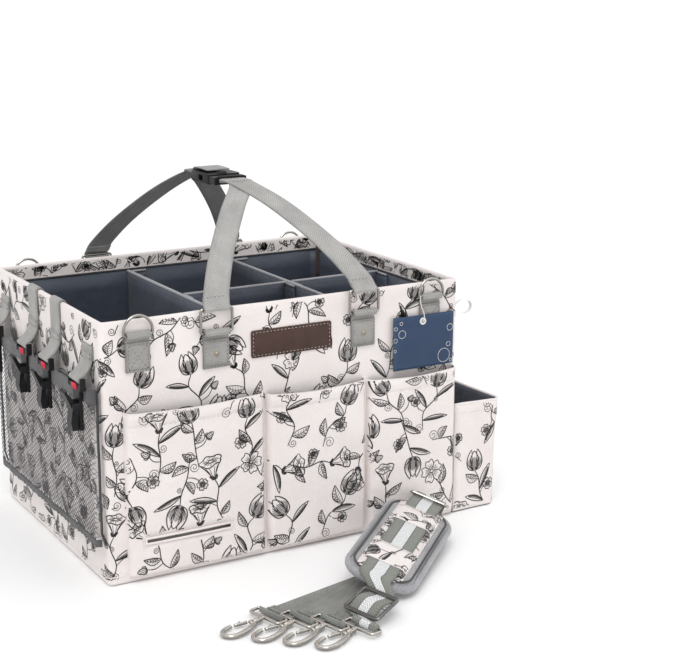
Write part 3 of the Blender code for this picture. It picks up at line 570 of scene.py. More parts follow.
def rounded_loop(corners, radius, steps=6):
    """A closed outline whose corners are replaced by arcs."""
    points = []
    count = len(corners)
    for index, corner in enumerate(corners):
        into = (corners[index - 1] - corner).normalized()
        away = (corners[(index + 1) % count] - corner).normalized()
        half = into.angle(away) / 2
        centre = corner + (into + away).normalized() * radius / math.sin(half)
        start = corner + into * radius / math.tan(half) - centre
        end = corner + away * radius / math.tan(half) - centre
        for step in range(steps + 1):
            points.append(centre + start.slerp(end, step / steps) * start.length)
    return points


def divided(low, high, size, edge=()):
    """Values from low to high about size apart, with the edge offsets added at both ends."""
    inner_low, inner_high = low + (edge[-1] if edge else 0), high - (edge[-1] if edge else 0)
    count = max(1, round((inner_high - inner_low) / size))
    middle = [inner_low + (inner_high - inner_low) * k / count for k in range(count + 1)]
    return [low + e for e in edge[:-1]] + middle + [high - e for e in edge[:-1]][::-1]


def eased(low, high, value):
    t = min(1.0, max(0.0, (value - low) / (high - low)))
    return t * t * (3 - 2 * t)


def ripple(point, wavelength, seed=0.0):
    """Smooth noise from -1 to 1."""
    return noise.noise(Vector(point) / wavelength + Vector((seed, 2 * seed, 3 * seed)))


# ---------------------------------------------------------------- the body's shell

HALF_LONG, DEEP = HALF_X - CORNER, 2 * (HALF_Y - CORNER)
STRAIGHTS = (HALF_LONG, DEEP, 2 * HALF_LONG, DEEP, HALF_LONG)
ARC = CORNER * math.pi / 2
ROUND_TRIP = sum(STRAIGHTS) + 4 * ARC


def around(run):
    """The place and outward normal after that run round the body, from the middle of its front."""
    run %= ROUND_TRIP
    point, heading = Vector((0, -HALF_Y, 0)), 0.0
    for straight in STRAIGHTS:
        ahead = Vector((math.cos(heading), math.sin(heading), 0))
        normal = Vector((ahead.y, -ahead.x, 0))
        if run <= straight:
            return point + ahead * run, normal
        run -= straight
        centre = point + ahead * straight - normal * CORNER
        if run <= ARC:
            turn = run / CORNER
            normal = Matrix.Rotation(turn, 3, "Z") @ normal
            return centre + normal * CORNER, normal
        run -= ARC
        heading += math.pi / 2
        point = centre + Vector((math.sin(heading), -math.cos(heading), 0)) * CORNER
    return point, normal


def shell_point(run, proud, z):
    point, normal = around(run)
    calm = 1 - eased(0.165, 0.200, z) if abs(normal.y) > 0.5 else 1 - eased(0.190, 0.215, z)
    calm *= eased(0.004, 0.030, z)
    sag = calm * (0.0006 + 0.0009 * ripple((point.x, point.y, z), 0.07) + 0.0004 * math.sin(z * 14))
    wave = 0.0007 * ripple((point.x, point.y, 0), 0.09, 5.0) * eased(0.250, TOP, z)
    return point + normal * (proud - max(sag, 0.0)) + Z * (z + wave)


def shell_runs():
    runs, at = [], 0.0
    for index, straight in enumerate(STRAIGHTS):
        count = round(straight / 0.009)
        runs += [at + straight * k / count for k in range(count)]
        at += straight
        if index < 4:
            runs += [at + ARC * k / 6 for k in range(6)]
            at += ARC
    return runs


def shell_profile():
    """(proud, z) from under the base, up the outside, over the rim and down the inside."""
    rows = []
    for angle in (-90, -60, -30, 0):
        a = math.radians(angle)
        rows.append((FOOT_ROUND * (math.cos(a) - 1), FOOT_ROUND * (1 + math.sin(a)) + 0.0002))
    rows += [(0.0, 0.0042 + (TOP - RIM_ROUND - 0.0042) * k / 26) for k in range(1, 27)]
    for angle in range(30, 181, 30):
        a = math.radians(angle)
        rows.append((RIM_ROUND * (math.cos(a) - 1), TOP - RIM_ROUND + RIM_ROUND * math.sin(a)))
    rows += [(-WALL, z) for z in (0.254, FACING_FOOT, 0.15, 0.0052)]
    return rows


def build_shell():
    runs, rows = shell_runs(), shell_profile()
    shape = Shape()
    points = [shell_point(run, proud, z) for proud, z in rows for run in runs]
    wide = len(runs)
    faces = []
    for j in range(len(rows) - 1):
        for i in range(wide):
            k = (i + 1) % wide
            faces.append([j * wide + i, j * wide + k, (j + 1) * wide + k, (j + 1) * wide + i])
    faces.append(list(range(wide))[::-1])
    faces.append([(len(rows) - 1) * wide + i for i in range(wide)])
    shape.add(points, faces)
    panels = ("front_panel", "back_panel", "left_panel", "right_panel", "base_board")
    shape.made("shell", "caddy", CLOTH, replaces=panels, slot="fabric")

    seams = Shape()
    for height, proud, radius in ((0.0092, -0.0002, 0.0007), (TOP - 0.0105, -0.0003, 0.0005)):
        seams.tube([shell_point(run, proud, height) for run in runs], radius, Z, True, 6)
    seams.made("shell_seams", "caddy", CLOTH, slot="fabric")
    binding = Shape()
    inner = [shell_point(run, -WALL - 0.0006, FACING_FOOT - 0.0005) for run in runs]
    binding.tube(inner, 0.0009, Z, True, 8, flat=1.5)
    binding.made("facing_binding", "caddy", DARK_TRIM, slot="lining")


# ---------------------------------------------------------------- printed line art

PRINT_PITCH = (0.056, 0.054)
INK_WIDTH = 0.00118
SCATTER = 0.008


def leaf(length, width, bend=0.3):
    def spot(t, side):
        t = min(t, 1.0)
        half = width / 2 * math.sin(math.pi * t**0.85)
        return t * length, side * half + bend * width * math.sin(math.pi * t)

    lines = [([spot(k / 8, side) for k in range(9)], 1.0 if side < 0 else 0.75) for side in (-1, 1)]
    lines.append(([spot(k / 5, 0) for k in range(6)], 0.6))
    for k in range(1, 6):
        t = k / 7
        lines.append(([spot(t, 0), spot(t + 0.06, -0.5), spot(t + 0.11, -0.92)], 0.5))
        lines.append(([spot(t, 0), spot(t + 0.06, 0.45), spot(t + 0.10, 0.7)], 0.38))
    for k in range(4):
        t = 0.16 + 0.12 * k
        lines.append(([spot(t, -0.25), spot(t + 0.10, -0.55), spot(t + 0.16, -0.85)], 0.55))
    return lines


def blade(length, width, lean):
    """A long folded leaf, pointed, dark down one side."""
    def spot(t, side):
        return t * length, side * width / 2 * math.sin(math.pi * t) ** 0.8 + lean * t * t * length

    lines = [([spot(k / 9, side) for k in range(10)], 0.95) for side in (-1, 1)]
    for side in (-0.75, -0.5, -0.25, 0.15):
        lines.append(([spot(0.05 + 0.8 * k / 6, side) for k in range(7)], 0.5))
    return lines


def trumpet(size):
    """An open flower seen from the side: ruffled rim, throat, folds down to a narrow calyx."""
    def rim(a, share=1.0):
        wide = 0.44 * (1 + 0.10 * math.sin(5 * a + 0.6))
        high = 0.21 * (1 + 0.20 * math.cos(5 * a + 0.3))
        return wide * math.cos(a) * share * size, (0.30 + high * math.sin(a) * share) * size

    lines = [([rim(2 * math.pi * k / 30) for k in range(31)], 1.0)]
    lines.append(([rim(2 * math.pi * k / 10, 0.26) for k in range(11)], 0.8))
    for k in range(15):
        a = 2 * math.pi * (k + 0.3) / 15
        lines.append(([rim(a, 0.30), rim(a + 0.06, 0.5), rim(a + 0.08, 0.66 + 0.2 * (k % 2))], 0.5))
    for side in (-1, 1):
        ways = ((0.43, 0.24), (0.27, 0.05), (0.12, -0.20), (0.05, -0.46))
        lines.append(([(side * x * size, y * size) for x, y in ways], 0.95))
        wide_fold = ((0.24, 0.08), (0.13, -0.14), (0.03, -0.42))
        for folds in (wide_fold, ((0.11, 0.07), (0.07, -0.12), (0.01, -0.40))):
            lines.append(([(side * x * size, y * size) for x, y in folds], 0.5))
        lines += placed(leaf(0.24 * size, 0.09 * size), (0, -0.44 * size), math.pi / 2 - side * 0.75)
    return lines


def tulip(size):
    """A closed cup of three petals, hatched dark."""
    lines = []
    for side in (-1, 1):
        outer = ((0.02, -0.48), (0.30, -0.36), (0.40, -0.05), (0.32, 0.26), (0.16, 0.50))
        inner = ((0.16, 0.50), (0.12, 0.30), (0.20, 0.05), (0.16, -0.25))
        lines.append((curved([(side * x, y) for x, y in outer], size), 1.1))
        lines.append((curved([(side * x, y) for x, y in inner], size), 0.8))
        for k in range(5):
            reach = 0.34 - 0.055 * k
            foot, belly = (side * reach * 0.35, -0.43), (side * reach * 0.95, -0.18)
            ways = (foot, belly, (side * reach, 0.02 + 0.07 * k))
            lines.append((curved(ways, size), 0.62))
    middle = ((-0.16, -0.25), (-0.19, 0.10), (0.0, 0.42), (0.19, 0.10), (0.16, -0.25))
    lines.append((curved(middle, size), 0.9))
    for k in range(-3, 4):
        ways = ((k * 0.035, -0.44), (k * 0.05, -0.15), (k * 0.042, 0.16 - 0.03 * abs(k)))
        lines.append((curved(ways, size), 0.55))
    return lines


def blossom(size):
    lines = []
    for k in range(5):
        near, far = ((0.08, 0.02), (0.26, 0.19), (0.46, 0.15)), ((0.47, -0.14), (0.27, -0.18), (0.08, -0.02))
        ways = (*near, (0.42, 0.0), *far)
        turn = 2 * math.pi * k / 5 + 0.3
        petal = [(curved(ways, size, 2), 0.85)]
        for y in (-0.05, 0.0, 0.06):
            petal.append((curved(((0.13, y * 0.6), (0.22, y), (0.30, y * 1.5)), size, 2), 0.45))
        lines += placed(petal, (0, 0), turn)
    turns = [k * math.pi / 4 for k in range(9)]
    lines.append(([(0.075 * size * math.cos(a), 0.075 * size * math.sin(a)) for a in turns], 0.9))
    return lines


def bud(size):
    lines = []
    for side in (-1, 1):
        ways = ((0.0, -0.1), (side * 0.2, 0.1), (side * 0.16, 0.42), (0.0, 0.62))
        lines.append((curved(ways, size), 0.95))
        lines.append((curved(((0, -0.1), (side * 0.07, 0.15), (side * 0.05, 0.48)), size), 0.55))
        lines.append((curved(((0, -0.1), (side * 0.28, 0.02), (side * 0.30, 0.24)), size), 0.85))
    return lines


def tendril(size):
    points = []
    for k in range(17):
        a = k / 16 * 3.6 * math.pi
        reach = size * (0.5 - 0.44 * k / 16)
        points.append((reach * math.cos(a) - size * 0.5, reach * math.sin(a)))
    return [(points, 0.6)]


def curved(ways, size=1.0, steps=3):
    return [(p.x, p.y) for p in smooth_path([(x * size, y * size, 0) for x, y in ways], steps)]


def placed(lines, at, turn, flip=1):
    c, s = math.cos(turn), math.sin(turn)
    return [
        ([(at[0] + flip * x * c - y * s, at[1] + flip * x * s + y * c) for x, y in points], width)
        for points, width in lines
    ]


def spray(draw):
    """A curved stem that carries one flower, leaves, a side twig and tendrils, in millimetres."""
    bend = draw.uniform(-9, 9)
    stem = curved(((0, -36), (bend, -16), (-bend * 0.4, 2), (bend * 0.2, 14)), 1.0, 4)
    lines = [(stem, 1.0)]
    head = draw.choice((trumpet, tulip, blossom, trumpet, tulip))
    lean = draw.uniform(-0.4, 0.4)
    offset = {trumpet: 10, tulip: 11, blossom: 8}[head]
    top = (stem[-1][0] - math.sin(lean) * offset, stem[-1][1] + math.cos(lean) * offset)
    lines += placed(head(draw.uniform(23, 28)), top, lean)
    side = draw.choice((-1, 1))
    for index in (2, 5, 8):
        angle = math.pi / 2 + side * draw.uniform(0.6, 1.15)
        if draw.random() < 0.72:
            made = leaf(draw.uniform(15, 23), draw.uniform(7, 10), 0.3 * side)
        else:
            made = blade(draw.uniform(24, 32), draw.uniform(5, 7), 0.14 * side)
        lines += placed(made, stem[index], angle)
        side = -side
    twig_turn = math.pi / 2 + side * draw.uniform(0.9, 1.3)
    reach = draw.uniform(13, 19)
    twig = placed([(curved(((0, 0), (reach * 0.5, 2.5), (reach, 0)), 1.0, 3), 0.75)], stem[4], twig_turn)
    lines += twig
    end = twig[0][0][-1]
    lines += placed(draw.choice((bud, blossom))(draw.uniform(11, 15)), end, twig_turn - math.pi / 2)
    lines += placed(tendril(draw.uniform(8, 13)), stem[1], draw.uniform(0, 2 * math.pi))
    if draw.random() < 0.6:
        lines += placed(tendril(draw.uniform(6, 10)), stem[7], draw.uniform(0, 2 * math.pi))
    return lines


def lay_line(shape, spot, points, width, inside):
    """A tapered ribbon of ink along the points; the parts outside are left off."""
    last = len(points) - 1
    rows, keep = [], []
    for index, (x, y) in enumerate(points):
        before, after = points[max(index - 1, 0)], points[min(index + 1, last)]
        dx, dy = after[0] - before[0], after[1] - before[1]
        span = math.hypot(dx, dy) or 1.0
        half = width / 2 * (0.35 + 0.65 * math.sin(math.pi * (index + 0.5) / (last + 1)) ** 0.5)
        nx, ny = -dy / span * half, dx / span * half
        keep.append(inside(x, y))
        rows.append((spot(x + nx, y + ny), spot(x - nx, y - ny)) if keep[-1] else None)
    for index in range(last):
        if keep[index] and keep[index + 1]:
            (a, b), (c, d) = rows[index], rows[index + 1]
            shape.add((a, b, d, c), ((0, 1, 2, 3),))


def print_on(name, body, spot, low, high, seed, hidden=None, pitch=PRINT_PITCH):
    """Sprays scattered over the rectangle from low to high of one surface."""
    draw = random.Random(seed)
    shape = Shape()

    def inside(x, y):
        return low[0] < x < high[0] and low[1] < y < high[1] and not (hidden and hidden(x, y))

    wide = max(1, round((high[0] - low[0]) / pitch[0]))
    tall = max(1, round((high[1] - low[1]) / pitch[1]))
    for j in range(-1, tall + 1):
        for i in range(-1, wide + 1):
            column = (i + 0.5 + 0.5 * (j % 2)) / wide
            at_x = low[0] + (high[0] - low[0]) * column + draw.uniform(-SCATTER, SCATTER)
            at_y = low[1] + (high[1] - low[1]) * (j + 0.5) / tall + draw.uniform(-SCATTER, SCATTER)
            turn, flip = draw.uniform(0, 2 * math.pi), draw.choice((-1, 1))
            if j % 3 != 1:
                turn = draw.uniform(-0.7, 0.7)
            for points, width in placed(spray(draw), (0, 0), turn, flip):
                moved = [(at_x + x * 0.001, at_y + y * 0.001) for x, y in points]
                lay_line(shape, spot, moved, width * INK_WIDTH, inside)
    return shape.made(name, body, INK, open_sheet=True, slot="fabric")


def print_shell():
    def outside(run, z):
        return shell_point(run, SKIN, z)

    def hidden(run, z):
        point, normal = around(run)
        if normal.y < -0.9:
            return z < 0.164 and -0.176 < point.x < 0.194
        if normal.y > 0.9:
            return z < 0.150 and abs(point.x) < 0.141
        return normal.x > 0.9 and z < 0.085 and abs(point.y) < 0.144

    print_on("shell_print", "caddy", outside, (0.0, 0.006), (ROUND_TRIP, TOP - 0.003), 7, hidden)

    def facing(run, z):
        return shell_point(run, -WALL - SKIN, z)

    print_on("facing_print", "caddy", facing, (0.0, 0.2465), (ROUND_TRIP, TOP - 0.0028), 11)


# ---------------------------------------------------------------- pockets


def quarter(t):
    t = min(1.0, max(0.0, t))
    return math.sqrt(1 - (1 - t) ** 2)


class Patch:
    """A pocket sewn flat on a wall: a runs across it and z up it, and it rises with rounded sides."""

    SINK = 0.0026
    SIDE_ROUND = 0.0060
    HEM = 0.0138
    EDGE = (0.0, 0.0002, 0.0007, 0.0016, 0.0030, 0.0046, 0.0060)

    def __init__(self, wall, out, low, high, foot, top, depth, seed, swell=0.0012):
        self.wall, self.out, self.along = wall, out, Z.cross(out)
        self.low, self.high, self.foot, self.top = low, high, foot, top
        self.depth, self.seed, self.swell = depth, seed, swell

    def point(self, a, z):
        share = (a - self.low) / (self.high - self.low)
        up = (z - self.foot) / (self.top - self.foot)
        rise = quarter(min(a - self.low, self.high - a) / self.SIDE_ROUND) * quarter((z - self.foot) / 0.005)
        arch = math.sin(math.pi * min(1.0, max(0.0, share)))
        puff = self.swell * arch * (0.35 + 0.65 * up * up) + 0.0013 * ripple((a, z, 0), 0.040, self.seed)
        puff += 0.0005 * ripple((a * 2.2, z * 0.6, 0), 0.02, self.seed + 3)
        hem = 0.0006 * eased(self.top - 0.0125, self.top - 0.0115, z)
        proud = (self.depth + self.SINK) * rise - self.SINK + (puff + hem) * rise
        dip = 0.0022 * arch * max(0.0, up) ** 4
        return self.along * a + self.out * (self.wall + proud) + Z * (z - dip)

    def spot(self, a, z, step=0.0004):
        across = self.point(a + step, z) - self.point(a - step, z)
        up = self.point(a, z + step) - self.point(a, z - step)
        return self.point(a, z), across.cross(up).normalized()

    def printed(self, a, z):
        point, normal = self.spot(a, z)
        return point + normal * SKIN

    def build(self, name, node, thick=0.0014, hole=None, slot="fabric"):
        shape = Shape()
        us = divided(self.low, self.high, 0.007, self.EDGE)
        vs = divided(self.foot, self.top, 0.007, (0.0, 0.0006, 0.0018, 0.0036, 0.0050))
        vs = [v for v in vs if v < self.top - 0.0165 or v == vs[-1]]
        vs = sorted(set(vs) | {self.top - d for d in (0.0150, 0.0126, 0.0119, 0.0112, 0.007, 0.0)})
        if hole:
            us = sorted({u for u in us if not any(abs(u - h) < 0.002 for h in hole[:2])} | set(hole[:2]))
            vs = sorted({v for v in vs if not any(abs(v - h) < 0.002 for h in hole[2:])} | set(hole[2:]))

        def within(u, v, spare):
            return hole[0] - spare < u < hole[1] + spare and hole[2] - spare < v < hole[3] + spare

        opening = hole and (lambda u, v: within(u, v, 0.0))
        shape.slab(self.spot, us, vs, thick, opening, inner=1)
        obj = shape.made(name, "caddy", CLOTH, SLATE, replaces=(node,), slot=slot)
        obj_print = print_on(
            name + "_print", "caddy", self.printed,
            (self.low + 0.0006, self.foot + 0.001), (self.high - 0.0006, self.top - 0.0006),
            int(self.seed * 10) + 40,
            opening and (lambda u, v: within(u, v, 0.003)),
        )
        threads = Shape()
        across = divided(self.low + 0.004, self.high - 0.004, 0.010)
        threads.stitches([self.printed(a, self.top - self.HEM) for a in across], self.out)
        thread = threads.made(name + "_stitches", "caddy", CLOTH_THREAD, slot=slot)
        return obj


def build_pockets():
    front = -Y
    left = Patch(HALF_Y, front, -0.180, -0.0320, 0.006, 0.173, 0.0070, 1.0, 0.0030)
    slot = (-0.163, -0.072, 0.0400, 0.0455)
    left.build("front_pocket_left_cloth", "front_pocket_left", hole=slot)
    middle = Patch(HALF_Y, front, -0.029, 0.0855, 0.006, 0.170, 0.0070, 2.0, 0.0038)
    middle.build("front_pocket_middle_cloth", "front_pocket_middle")
    right = Patch(HALF_Y, front, 0.0885, 0.1968, 0.006, 0.168, 0.0070, 3.0, 0.0036)
    right.build("front_pocket_right_cloth", "front_pocket_right")
    back = Patch(HALF_Y, Y, -0.146, 0.146, 0.006, 0.157, 0.0066, 4.0, 0.0014)
    back.build("back_pocket_cloth", "back_pocket")

    border = Shape()
    loop = []
    for a0, z0, a1, z1 in ((0, 2, 1, 2), (1, 2, 1, 3), (1, 3, 0, 3), (0, 3, 0, 2)):
        first, last = (slot[a0], slot[z0]), (slot[a1], slot[z1])
        for k in range(8):
            a = first[0] + (last[0] - first[0]) * k / 8
            z = first[1] + (last[1] - first[1]) * k / 8
            loop.append(left.printed(a, z))
    border.tube(loop, 0.0013, front, True, 8)
    border.made("slot_border", "caddy", CLOTH, slot="fabric")
    threads = Shape()
    rim = ((-0.1665, 0.0368), (-0.0685, 0.0368), (-0.0685, 0.0487), (-0.1665, 0.0487), (-0.1665, 0.0368))
    threads.stitches([left.printed(a, z) for a, z in rim], front)
    threads.made("slot_stitches", "caddy", CLOTH_THREAD, slot="fabric")


SIDE_REACH = 0.0570
SIDE_HALF = 0.1485
SIDE_TOP = 0.122
SIDE_CORNER = 0.009
SIDE_HEM = 0.010


def side_path(run):
    """The side pocket's outline in plan, from the wall at the front round to the wall at the back."""
    legs = (SIDE_REACH - SIDE_CORNER, 2 * (SIDE_HALF - SIDE_CORNER), SIDE_REACH - SIDE_CORNER)
    arc = SIDE_CORNER * math.pi / 2
    point, heading = Vector((HALF_X + 0.0003, -SIDE_HALF, 0)), 0.0
    normal = -Y
    for index, leg in enumerate(legs):
        ahead = Vector((math.cos(heading), math.sin(heading), 0))
        normal = Vector((ahead.y, -ahead.x, 0))
        if run <= leg or index == 2:
            return point + ahead * min(run, leg), normal
        run -= leg
        centre = point + ahead * leg - normal * SIDE_CORNER
        if run <= arc:
            normal = Matrix.Rotation(run / SIDE_CORNER, 3, "Z") @ normal
            return centre + normal * SIDE_CORNER, normal
        run -= arc
        heading += math.pi / 2
        point = centre + Vector((math.sin(heading), -math.cos(heading), 0)) * SIDE_CORNER
    return point, normal


SIDE_RUN = 2 * (SIDE_REACH - SIDE_CORNER) + 2 * (SIDE_HALF - SIDE_CORNER) + SIDE_CORNER * math.pi


def side_point(run, z, proud=0.0):
    point, normal = side_path(run)
    up = z / SIDE_TOP
    away = eased(0.0, 0.03, point.x - HALF_X)
    flare = away * (0.0035 * up * up * abs(normal.x) - 0.0010 * (1 - up))
    bend = 0.0010 * ripple((point.x, point.y, z), 0.05, 9.0) * away * up
    round_in = 0.003 * (1 - quarter((z + 0.0001) / 0.004))
    dip = 0.0030 * away * math.sin(math.pi * min(1, max(0, run / SIDE_RUN))) * up**3
    return point + normal * (proud + flare + bend - round_in) + Z * (z - dip + 0.0003)


def side_spot(run, z, step=0.0004):
    across = side_point(run + step, z) - side_point(run - step, z)
    up = side_point(run, z + step) - side_point(run, max(z - step, 0))
    return side_point(run, z), across.cross(up).normalized()


def build_side_pocket():
    shape = Shape()
    arc = SIDE_CORNER * math.pi / 2
    first, second = SIDE_REACH - SIDE_CORNER, SIDE_REACH - SIDE_CORNER + arc + 2 * (SIDE_HALF - SIDE_CORNER)
    us = divided(0.0, first, 0.008)[:-1] + [first + arc * k / 6 for k in range(7)][:-1]
    us += divided(first + arc, second, 0.009)[:-1] + [second + arc * k / 6 for k in range(7)][:-1]
    us += divided(second + arc, SIDE_RUN, 0.008)
    vs = [0.0, 0.0012, 0.0028, 0.005] + divided(0.012, SIDE_TOP - 0.012, 0.009) + [SIDE_TOP - 0.006, SIDE_TOP]
    shape.slab(side_spot, us, vs, 0.0024, inner=1)
    floor = [side_point(u, 0.0015, -0.0010) for u in us]
    under = [Vector((point.x, point.y, 0.0004)) for point in floor]
    over = [Vector((point.x, point.y, 0.0026)) for point in floor]
    count = len(floor)
    faces = [list(range(count))[::-1], [count + i for i in range(count)]]
    faces += [[i, (i + 1) % count, count + (i + 1) % count, count + i] for i in range(count)]
    shape.add(under + over, faces, 1)
    pocket = shape.made("side_pocket_cloth", "caddy", CLOTH, SLATE, replaces=("side_pocket",), slot="fabric")

    def printed(run, z):
        point, normal = side_spot(run, z)
        return point + normal * SKIN

    high = (SIDE_RUN - 0.001, SIDE_TOP - 0.0008)
    art = print_on("side_pocket_print", "caddy", printed, (0.001, 0.004), high, 61)
    threads = Shape()
    threads.stitches([printed(u, SIDE_TOP - SIDE_HEM) for u in us], -Y)
    thread = threads.made("side_pocket_stitches", "caddy", CLOTH_THREAD, slot="fabric")
    rim = Shape()
    rim.tube([side_point(u, SIDE_TOP, -0.0012) for u in us], 0.0015, Z, False, 8)
    edge = rim.made("side_pocket_rim", "caddy", CLOTH, slot="fabric")


NET_PATCH = Patch(HALF_X, -X, -0.146, 0.146, 0.042, 0.1985, 0.0078, 6.0, 0.0016)
NET_PITCH = 0.0080
NET_SLOPE = 0.62


def build_net():
    low, high = NET_PATCH.low + 0.0004, NET_PATCH.high - 0.0004
    foot, top = 0.0440, 0.1850
    shape = Shape()
    reach = (top - foot) / NET_SLOPE
    count = int((high - low + reach) / NET_PITCH)
    for lean in (-1, 1):
        for k in range(count + 1):
            start = low - reach + k * NET_PITCH if lean > 0 else low + k * NET_PITCH
            path, rows = [], []
            for step in range(0, 25):
                z = foot + (top - foot) * step / 24
                rows.append((start + lean * (z - foot) / NET_SLOPE, z))
            for (a0, z0), (a1, z1) in zip(rows, rows[1:]):
                for t in (0.0, 0.5):
                    a, z = a0 + (a1 - a0) * t, z0 + (z1 - z0) * t
                    if low <= a <= high:
                        point, normal = NET_PATCH.spot(a, z)
                        path.append(point + normal * 0.00022 * lean)
            if len(path) > 1:
                shape.tube(path, 0.00036, NET_PATCH.out * 0.9 + Z * 0.1, False, 4)
    net = shape.made("mesh_pocket_net", "caddy", NET, replaces=("mesh_pocket",), slot="net")

    trim = Shape()
    for height, wide, gather in ((0.1905, 0.0150, 0.0), (0.0448, 0.0075, 0.0006)):
        path, sides = [], []
        for a in divided(NET_PATCH.low + 0.0012, NET_PATCH.high - 0.0012, 0.004):
            point, normal = NET_PATCH.spot(a, height)
            wobble = gather * math.sin(a * 900 + 3 * ripple((a, 0, 0), 0.01))
            path.append(point + normal * (0.0006 + wobble))
            sides.append(Z)
        trim.band(path, sides, wide, 0.0012)
    band = trim.made("mesh_pocket_band", "caddy", BAND, slot="net")
    posts = Shape()
    for a in (NET_PATCH.low + 0.0010, NET_PATCH.high - 0.0010):
        path = [NET_PATCH.spot(a, z)[0] for z in divided(0.0425, 0.197, 0.012)]
        posts.band(path, [Y] * len(path), 0.0050, 0.0010)
    post = posts.made("mesh_pocket_sides", "caddy", DARK_TRIM, slot="net")


# ---------------------------------------------------------------- inside


def build_lining():
    inset = WALL + 0.0002
    runs = shell_runs()

    def spot(run, z):
        point, normal = around(run)
        crease = 0.00035 * ripple((point.x, point.y, z * 0.5), 0.03, 8.0)
        return point - normal * (inset + 0.0008 + crease) + Z * z, -normal

    shape = Shape()
    vs = divided(0.0064, FACING_FOOT, 0.020)
    shape.slab(spot, runs, vs, 0.0006, closed=True)
    floor = [spot(run, 0.0066)[0] for run in runs]
    count = len(floor)
    below = [point - Z * 0.0008 for point in floor]
    faces = [list(range(count)), [count + i for i in range(count)][::-1]]
    faces += [[i, (i + 1) % count, count + (i + 1) % count, count + i] for i in range(count)]
    shape.add(floor + below, faces)
    lining = shape.made("lining_cloth", "caddy", SLATE, replaces=("lining",), slot="lining")


def build_divider(name, along_x, low, high, at, flaps, body, replaces):
    """A padded board along X or Y with piped top, and flaps folded along the walls that it meets."""
    foot, top, half = 0.0078, 0.2430, 0.0024
    shape = Shape()

    def place(a, off, z):
        return Vector((a, at + off, z)) if along_x else Vector((at + off, a, z))

    rows = divided(low + 0.0004, high - 0.0004, 0.010)
    heights = divided(foot, top, 0.014)
    points, faces = [], []
    for z in heights:
        for side, run in ((1, rows), (-1, rows[::-1])):
            for a in run:
                t = min(a - rows[0], rows[-1] - a) / 0.004
                soft = half * (0.55 + 0.45 * quarter(t)) + 0.00028 * ripple((a, z, side * 2.0), 0.03, at * 40)
                points.append(place(a, side * soft, z))
    wide = 2 * len(rows)
    for j in range(len(heights) - 1):
        for i in range(wide):
            k = (i + 1) % wide
            faces.append([j * wide + i, j * wide + k, (j + 1) * wide + k, (j + 1) * wide + i])
    faces.append(list(range(wide))[::-1])
    faces.append([(len(heights) - 1) * wide + i for i in range(wide)])
    shape.add(points, faces)
    for end, inward in flaps:
        start = end + inward * 0.0012
        fold = -1 if along_x else 1
        path = [place(start, fold * d, (foot + top) / 2) for d in (0.0, 0.006, 0.013, 0.0212)]
        shape.band(path, [Z] * 4, top - foot - 0.002, 0.0018)
    board = shape.made(name + "_board", body, SLATE_BOARD, replaces=replaces, slot="lining")
    trim = Shape()
    line = [place(a, 0.0, top + 0.0002) for a in rows]
    trim.tube(line, 0.0024, Z, False, 8, flat=0.62)
    for end, inward in flaps:
        start = end + inward * 0.0012
        path = [place(start, (-1 if along_x else 1) * d, top - 0.0006) for d in (0.002, 0.0212)]
        trim.tube(path, 0.0013, Z, False, 8)
    trim.made(name + "_piping", body, PIPING, slot="lining")
    threads = Shape()
    for side in (-1, 1):
        row = [place(a, side * (half + 0.0002), top - 0.0045) for a in rows]
        threads.stitches(row, place(0, side, 0) - place(0, 0, 0))
    threads.made(name + "_stitches", body, GREY_THREAD, slot="lining")


def build_dividers():
    inner_y, inner_x = 0.1433, 0.1933
    for node, x in (("cross_divider_left", -0.050), ("cross_divider_right", 0.079)):
        flaps = ((-inner_y, 1), (inner_y, -1))
        build_divider(node, False, -inner_y, inner_y, x, flaps, node + "_board", (node,))
    for node, low, high in (("middle_divider", -0.0469, 0.0759), ("right_divider", 0.0821, inner_x)):
        flaps = ((low, 1), (high, -1))
        build_divider(node, True, low, high, 0.0, flaps, node + "_board", (node,))


# ---------------------------------------------------------------- webbing, rings and buckle


def box_stitch(shape, centre, across, up, out, wide, tall, cross=False):
    spots = [(-1, -1), (1, -1), (1, 1), (-1, 1), (-1, -1)]
    corners = [centre + across * (i * wide / 2) + up * (j * tall / 2) for i, j in spots]
    shape.stitches(corners, out)
    if cross:
        shape.stitches([corners[0], corners[2]], out)
        shape.stitches([corners[1], corners[3]], out)


def build_tab(name, node, x, side, foot, bar_z, width, wire_cross):
    out = Y * side
    bar = Vector((x, side * (HALF_Y + BAR_OUT), bar_z))
    line = side * (HALF_Y + 0.0003 + WEB_THICK / 2)
    path = [Vector((x, line, z)) for z in divided(foot, bar_z - 0.006, 0.006)]
    path += wrap(bar, out, Z, WRAP, 180, -70, 16)
    shape = Shape()
    shape.band(path, [X] * len(path), width, WEB_THICK)
    if foot > 0.15:
        heights = divided(foot + 0.0015, bar_z - 0.0075, 0.006)
        tail = [Vector((x, line + side * WEB_THICK * 0.9, z)) for z in heights]
        shape.band(tail, [X] * len(tail), width * 0.985, WEB_THICK * 0.8)
    shape.made(name, "caddy", WEB, replaces=(node,), slot="webbing")
    threads = Shape()
    surface = side * (HALF_Y + 0.0003 + WEB_THICK * (1.86 if foot > 0.15 else 1.02))
    low = foot + 0.0025
    high = bar_z - 0.0095
    if foot < 0.15:
        centre = Vector((x, surface, high - 0.009))
        box_stitch(threads, centre, X, Z, out, width - 0.006, 0.016, True)
        centre = Vector((x, surface, foot + 0.011))
        box_stitch(threads, centre, X, Z, out, width - 0.006, 0.016, True)
    else:
        centre = Vector((x, surface, (low + high) / 2))
        box_stitch(threads, centre, X, Z, out, width - 0.005, high - low, wire_cross)
    threads.made(name + "_stitches", "caddy", GREY_THREAD, slot="webbing")


